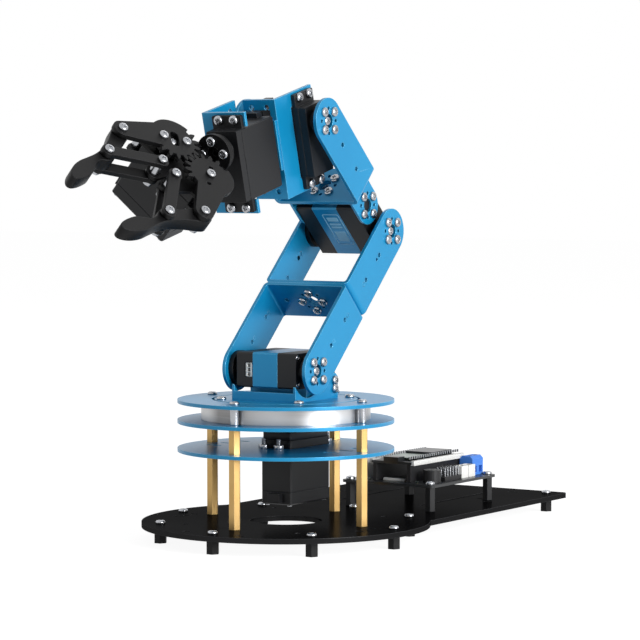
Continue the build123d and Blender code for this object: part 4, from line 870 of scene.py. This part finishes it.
def finger(node, body, side):
    x, y = side * PIVOT[0], PIVOT[1]
    loop = [(x - side * a, y - b) for a, b in flowing(FINGER)]
    pivot = circle_loop(x, y, PIN_HOLE)
    tip = circle_loop(side * LINK_TIP[0], LINK_TIP[1], 1.9)
    moulded = plate([loop, pivot, tip], -FINGER_HALF, FINGER_HALF, GRIP, 0.45)
    piece = joined(node + "_moulded", [moulded], "black_metal", body)
    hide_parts(node)


finger("left_finger", "left_finger", -1)
finger("right_finger", "right_finger", 1)


# Forks, with the large holes on the arm's own line and the small ones between them
def merged_copy(node):
    work = welded(node)
    mesh = bpy.data.meshes.new(node + "_copy")
    work.to_mesh(mesh)
    work.free()
    return mesh


def round_bars(place, spots, radius, z0, z1):
    """Closed round bars along Z of a frame, one mesh."""
    work = bmesh.new()
    for x, y in spots:
        at = place @ Matrix.Translation((x * MM, y * MM, (z0 + z1) / 2 * MM))
        bmesh.ops.create_cone(work, cap_ends=True, segments=24, radius1=radius * MM,
                              radius2=radius * MM, depth=(z1 - z0) * MM, matrix=at)
    mesh = bpy.data.meshes.new("bars")
    work.to_mesh(mesh)
    work.free()
    return mesh


def combined(mesh, tool, operation):
    a, b = bpy.data.objects.new("body", mesh), bpy.data.objects.new("tool", tool)
    for thing in (a, b):
        scene.collection.objects.link(thing)
    step = a.modifiers.new("step", "BOOLEAN")
    step.object, step.operation, step.solver = b, operation, "EXACT"
    graph = bpy.context.evaluated_depsgraph_get()
    result = bpy.data.meshes.new_from_object(a.evaluated_get(graph), depsgraph=graph)
    a.modifiers.remove(step)
    for thing in (a, b):
        bpy.data.objects.remove(thing)
    return result


def pattern(start):
    """Four spots round a hub, the first at this angle."""
    angles = [math.radians(start + 90 * i) for i in range(4)]
    return [(HORN_CIRCLE * math.cos(a), HORN_CIRCLE * math.sin(a)) for a in angles]


DRILL_OVER = 0.5


def plugged(mesh, sheet, spots, radius):
    """The mesh with holes of a sheet filled; a sheet is a frame and its two heights along Z."""
    place, z0, z1 = sheet
    return combined(mesh, round_bars(place, spots, radius, z0, z1), "UNION")


def drilled(mesh, sheet, spots, radius):
    """The mesh with holes through a sheet."""
    place, z0, z1 = sheet
    bars = round_bars(place, spots, radius, z0 - DRILL_OVER, z1 + DRILL_OVER)
    return combined(mesh, bars, "DIFFERENCE")


FORK_INNER = 26.0
FORK_OUTER = 28.0
FORKS_MEET = 55.0
SHEET = FORK_OUTER - FORK_INNER
CAGE_INNER = 20.0
CAGE_OUTER = 21.5
PLUG_RADIUS = 1.8
HUB_HOLE = 1.6
SMALL_HOLE = 1.1
WALL_HOLE = 1.4
WALL_HOLES = (23.1, 42.9)
WALL_SHIFT = 3.6


def fork(node, body, hub, side, webs=()):
    """Turns the hole patterns and moves the small wall holes towards the hub."""
    mesh = merged_copy(node)
    walls = [(hub @ X_UP, FORK_INNER, FORK_OUTER), (hub @ X_UP, -FORK_OUTER, -FORK_INNER)]
    sheets = walls + list(webs)
    for sheet in sheets:
        mesh = plugged(mesh, sheet, pattern(45), PLUG_RADIUS)
    for sheet in walls:
        mesh = plugged(mesh, sheet, [(side * z, 0) for z in WALL_HOLES], WALL_HOLE)
        mesh = drilled(mesh, sheet, [(side * (z - WALL_SHIFT), 0) for z in WALL_HOLES], WALL_HOLE)
    for sheet in sheets:
        mesh = drilled(mesh, sheet, pattern(0), HUB_HOLE)
        mesh = drilled(mesh, sheet, pattern(45), SMALL_HOLE)
    mesh.materials.clear()
    piece = joined(node + "_drilled", [mesh], "blue_anodised", body, SHARP_CREASE)
    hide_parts(node)


fork("lower_fork", "upper_arm", LOWER_LINK, -1, [(LOWER_LINK, FORKS_MEET - SHEET, FORKS_MEET)])
fork("upper_fork", "upper_arm", ELBOW, 1, [(LOWER_LINK, FORKS_MEET, FORKS_MEET + SHEET)])
fork("forearm_fork", "forearm", FOREARM_END, 1)


def cage():
    """The elbow cage with its pattern turned like the forks'."""
    mesh = merged_copy("elbow_cage")
    for sheet in ((CAGE_HUB, CAGE_INNER, CAGE_OUTER), (CAGE_HUB, -CAGE_OUTER, -CAGE_INNER)):
        mesh = plugged(mesh, sheet, pattern(45), PLUG_RADIUS)
        mesh = drilled(mesh, sheet, pattern(0), HUB_HOLE)
        mesh = drilled(mesh, sheet, pattern(45), SMALL_HOLE)
    mesh.materials.clear()
    piece = joined("elbow_cage_drilled", [mesh], "blue_anodised", "forearm", SHARP_CREASE)
    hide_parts("elbow_cage")


cage()


# Base servo: raised lid under the middle disc, black drive hub
def base_servo_lid():
    raised = [block_loop(-9.6, 9.6, -9.6, 29.6, 1.2), circle_loop(0, 0, 7.4)]
    lid = plate(raised, 36.5, 41.2, BASE_SERVO, 0.3)
    back = plate([block_loop(-9.2, 9.2, 13.2, 29.2, 1.2)], 41.0, 45.4, BASE_SERVO, 0.3)
    joined("base_servo_lid", [lid, back], "black_plastic", "base")
    rows = [((x, y, 33.8 + THREAD_PITCH * k), 1.5, THREAD_PITCH)
            for x in (-5, 5) for y in (-14.75, 34.75) for k in range(8)]
    joined("base_servo_bolt_tips", [put("thread", BASE_SERVO, rows)], "bright_steel", "base")
    hub = merged_copy("drive_hub")
    hub.materials.clear()
    piece = joined("drive_hub_black", [hub], "black_metal", "turntable")
    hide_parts("drive_hub")


base_servo_lid()


# Servo cases: bottom screws, side screws and lead sockets
def case_screws(name, place, body):
    rows = [((x, y, 0.0), 1.6, 0.7) for x in (-7.6, 7.6) for y in (7.6, -27.6)]
    joined(name, [put("head", place @ UPSIDE_DOWN, rows)], "bright_steel", body)


case_screws("base_servo_case_screws", BASE_SERVO, "base")
case_screws("pitch_servo_case_screws", PITCH_SERVO, "wrist")
case_screws("roll_servo_case_screws", ROLL_SERVO, "wrist")
case_screws("gripper_servo_case_screws", GRIP_SERVO, "palm")


def side_screws(name, place, body):
    rows = [((-z, y, 18.8), 1.75, 1.1) for y in (-7.4, 27.4) for z in (-7.4, 7.4)]
    joined(name, [put("head", place @ X_UP, rows)], "bright_steel", body)


CASE_HALF = 10.0
ELBOW_CASE = FOREARM @ Matrix.Rotation(math.radians(90), 4, "X")
side_screws("shoulder_servo_side_screws", SHOULDER, "turntable")
side_screws("elbow_servo_side_screws", ELBOW_CASE, "forearm")


def lead_socket(name, place, body):
    """White three-pin socket in the front of a twin-shaft case."""
    front = place @ seat((-12.0, -CASE_HALF, 0.0), (1, 0, 0), (0, 0, 1), (0, -1, 0))
    ways = (-2.5, 0.0, 2.5)
    holes = [block_loop(-1.0, 1.0, z - 0.95, z + 0.95, 0.2) for z in ways]
    shell = plate([block_loop(-2.1, 2.1, -3.9, 3.9, 0.4)] + holes, -2.6, -0.1, front, 0.15)
    joined(name + "_shell", [shell], "connector_white", body)
    rows = [((0.0, z, -2.9), 0.32, 2.4) for z in ways]
    joined(name + "_pins", [put("pin", front, rows)], "bright_steel", body)


lead_socket("shoulder_lead_socket", SHOULDER, "turntable")
lead_socket("elbow_lead_socket", ELBOW_CASE, "forearm")


def rating_plate():
    """Bare plate with plain stripes on the elbow servo's front."""
    front = FOREARM @ seat((1.0, -CASE_HALF, 12.0), (1, 0, 0), (0, 0, 1), (0, -1, 0))

    def raised(*loops):
        return plate(loops, -0.05, 0.12, front, 0.03)

    lines = [raised(block_loop(-5.6, 5.6, -13.0, 13.0, 1.2), block_loop(-5.0, 5.0, -12.4, 12.4, 0.8))]
    lines += [raised(block_loop(-3.6, 3.6, y - h, y + h, 0.3))
              for y, h in ((8.6, 1.6), (4.4, 0.7), (1.8, 0.7), (-6.0, 4.2))]
    joined("elbow_rating_plate", lines, "label_plate", "forearm")


rating_plate()


COVER_HALF = 0.12


def side_covers():
    """Thin smooth cover on each broad side of the roll servo, over its seams."""
    covers = [plate([block_loop(-31.3, -0.4, -9.6, 29.6, 0.6)], z - COVER_HALF, z + COVER_HALF,
                    ROLL_SERVO @ X_UP, 0.1) for z in (-CASE_HALF, CASE_HALF)]
    joined("roll_servo_side_covers", covers, "black_plastic", "wrist")


side_covers()


# Control board: pins, sockets, can, chips and screws, in mm above its top
BOARD = seat((0, 0, 18.6), (1, 0, 0), (0, 1, 0), (0, 0, 1))
MODULE_ROW = [83.2 + 2.54 * i for i in range(23)]
HEADER = [(40.6 + 2.5 * j, 99.8 + 3.1 * i) for i in range(6) for j in range(3)]
MODULE_CHIPS = ((13, 19, 99, 105), (22, 27, 98, 106), (12, 16, 90, 94))
MODULE_PARTS = ((20.5, 92), (22.5, 92), (24.5, 92), (20.5, 109), (24, 109), (12.5, 108),
                (14.5, 108), (28, 104), (28, 101))
BOARD_PARTS = ((-3, 84), (0, 84), (3, 84), (36, 84), (38, 96), (36.5, 92), (35.5, 120),
               (36.5, 124), (2, 140), (-1, 145), (36, 146))
BUZZER = (42.5, 90.5)


def board_sockets():
    rows = [((x, y, 9.9), 1.15, 2.9) for x in (5.9, 34.1) for y in MODULE_ROW]
    cells = put("cell", BOARD, rows, "connector_white")
    joined("socket_cells", [cells], "connector_white", "base")
    rows = [((x, y, 13.4), 0.42, 1.7) for x in (8.6, 31.4) for y in MODULE_ROW]
    rows += [((x, y, 2.4), 0.42, 6.2) for x, y in HEADER]
    rows += [((43.2, y, 1.4), 0.32, 4.6) for y in (120.7, 123.7, 128.9, 131.9)]
    joined("board_pins", [put("pin", BOARD, rows)], "bright_steel", "base")


def board_parts():
    cover = plate([block_loop(10.6, 29.4, 89.0, 112.0, 0.6)], 12.9, 13.8, BOARD, 0.15)
    joined("module_cover", [cover], "can_metal", "base")
    chips = [plate([block_loop(*chip, 0.2)], 12.0, 13.1, BOARD, 0.12) for chip in MODULE_CHIPS]
    chips += [plate([block_loop(-6, 4, 108, 124, 0.3)], 0.0, 1.6, BOARD, 0.15),
              plate([block_loop(-7, 3, 129, 136, 0.3)], 0.0, 2.4, BOARD, 0.15)]
    joined("board_chips", chips, "connector_black", "base")
    rows = [((x, y, 12.0), 0.5, 0.6) for x, y in MODULE_PARTS]
    rows += [((x, y, 0.0), 0.8, 0.9) for x, y in BOARD_PARTS]
    small = put("cell", BOARD, rows, "can_metal")
    joined("board_small_parts", [small], "can_metal", "base")
    rows = [((39.3, y, 8.0), 1.75, 1.3) for y in (138.8, 145.0)]
    joined("terminal_screws", [put("head", BOARD, rows)], "bright_steel", "base")
    bar = plate([block_loop(12.0, 27.0, 85.0, 87.5, 0.3)], 0.0, 1.6, BOARD, 0.2)
    joined("cavity_bar", [bar], "connector_white", "base")
    ring = plate([circle_loop(*BUZZER, 3.4), circle_loop(*BUZZER, 1.1)], 7.4, 7.75, BOARD, 0.12)
    joined("buzzer_ring", [ring], "connector_black", "base")


board_sockets()
board_parts()


# Stage
FLOOR = -8.0


def grey(level):
    return (level, level, level, 1)


def studio():
    """White floor and sky that look bright to the camera but light the arm softly."""
    bpy.ops.mesh.primitive_plane_add(size=12, location=(0, 0, (FLOOR - 0.1) * MM))
    floor = bpy.context.object
    floor.name = "studio_floor"
    f = Finish("studio_floor_paint")
    dull = f.node("BsdfDiffuse", None, {"Color": grey(0.80)})
    soft = f.node("BsdfDiffuse", None, {"Color": grey(0.26)})
    white = f.node("Emission", None, {"Color": grey(1), "Strength": 0.93})
    bright = f.node("AddShader", None, {0: soft, 1: white})
    seen = f.seen_by("Is Camera Ray", "Is Glossy Ray", "Is Transmission Ray")
    paint = f.close(f.node("MixShader", None, {0: seen, 1: dull, 2: bright}))
    floor.data.materials.append(paint)

    scene.world = bpy.data.worlds.new("studio_light")
    sky = Finish("studio_light", scene.world)
    soft = sky.node("Background", None, {"Color": grey(1), "Strength": 0.24})
    bright = sky.node("Background", None, {"Color": grey(1), "Strength": 1.0})
    seen = sky.seen_by("Is Camera Ray", "Is Glossy Ray")
    sky.close(sky.node("MixShader", None, {0: seen, 1: soft, 2: bright}), "OutputWorld")


def lamp(name, place, aim, size, power):
    light = bpy.data.lights.new(name, "AREA")
    light.shape = "RECTANGLE"
    light.size, light.size_y = size
    light.energy = power
    light.color = (1, 1, 1)
    made = bpy.data.objects.new(name, light)
    scene.collection.objects.link(made)
    made.location = place
    made.rotation_euler = (Vector(aim) - Vector(place)).to_track_quat("-Z", "Y").to_euler()


# Camera of the photograph
CAMERA_TURN = math.radians(33.12)
CAMERA_AWAY = 1.5895
CAMERA_SIDE = 0.01931
CAMERA_HEIGHT = 0.20285
CAMERA_DIP = math.radians(3.098)
CAMERA_LENS = 158.22


def camera():
    data = bpy.data.cameras.new("photo_camera")
    data.sensor_fit = "HORIZONTAL"
    data.sensor_width = 36.0
    data.lens = CAMERA_LENS
    data.clip_start = 0.05
    data.clip_end = 30
    made = bpy.data.objects.new("photo_camera", data)
    scene.collection.objects.link(made)
    a = CAMERA_TURN
    look = Vector((-math.sin(a), math.cos(a), 0))
    side = Vector((math.cos(a), math.sin(a), 0))
    made.location = -CAMERA_AWAY * look + CAMERA_SIDE * side + Vector((0, 0, CAMERA_HEIGHT))
    aim = look * math.cos(CAMERA_DIP) - Vector((0, 0, math.sin(CAMERA_DIP)))
    made.rotation_euler = aim.to_track_quat("-Z", "Y").to_euler()
    scene.camera = made


studio()
lamp("key_light", (1.75, -0.3, 0.6), (0, 0, 0.12), (1.0, 1.0), 44)
lamp("fill_light", (-1.2, -1.0, 0.9), (0, 0, 0.12), (1.0, 1.4), 1.5)
lamp("back_light", (-0.3, 1.4, 1.3), (0, 0, 0.1), (1.4, 0.8), 3)
camera()
scene.view_settings.view_transform = "Standard"
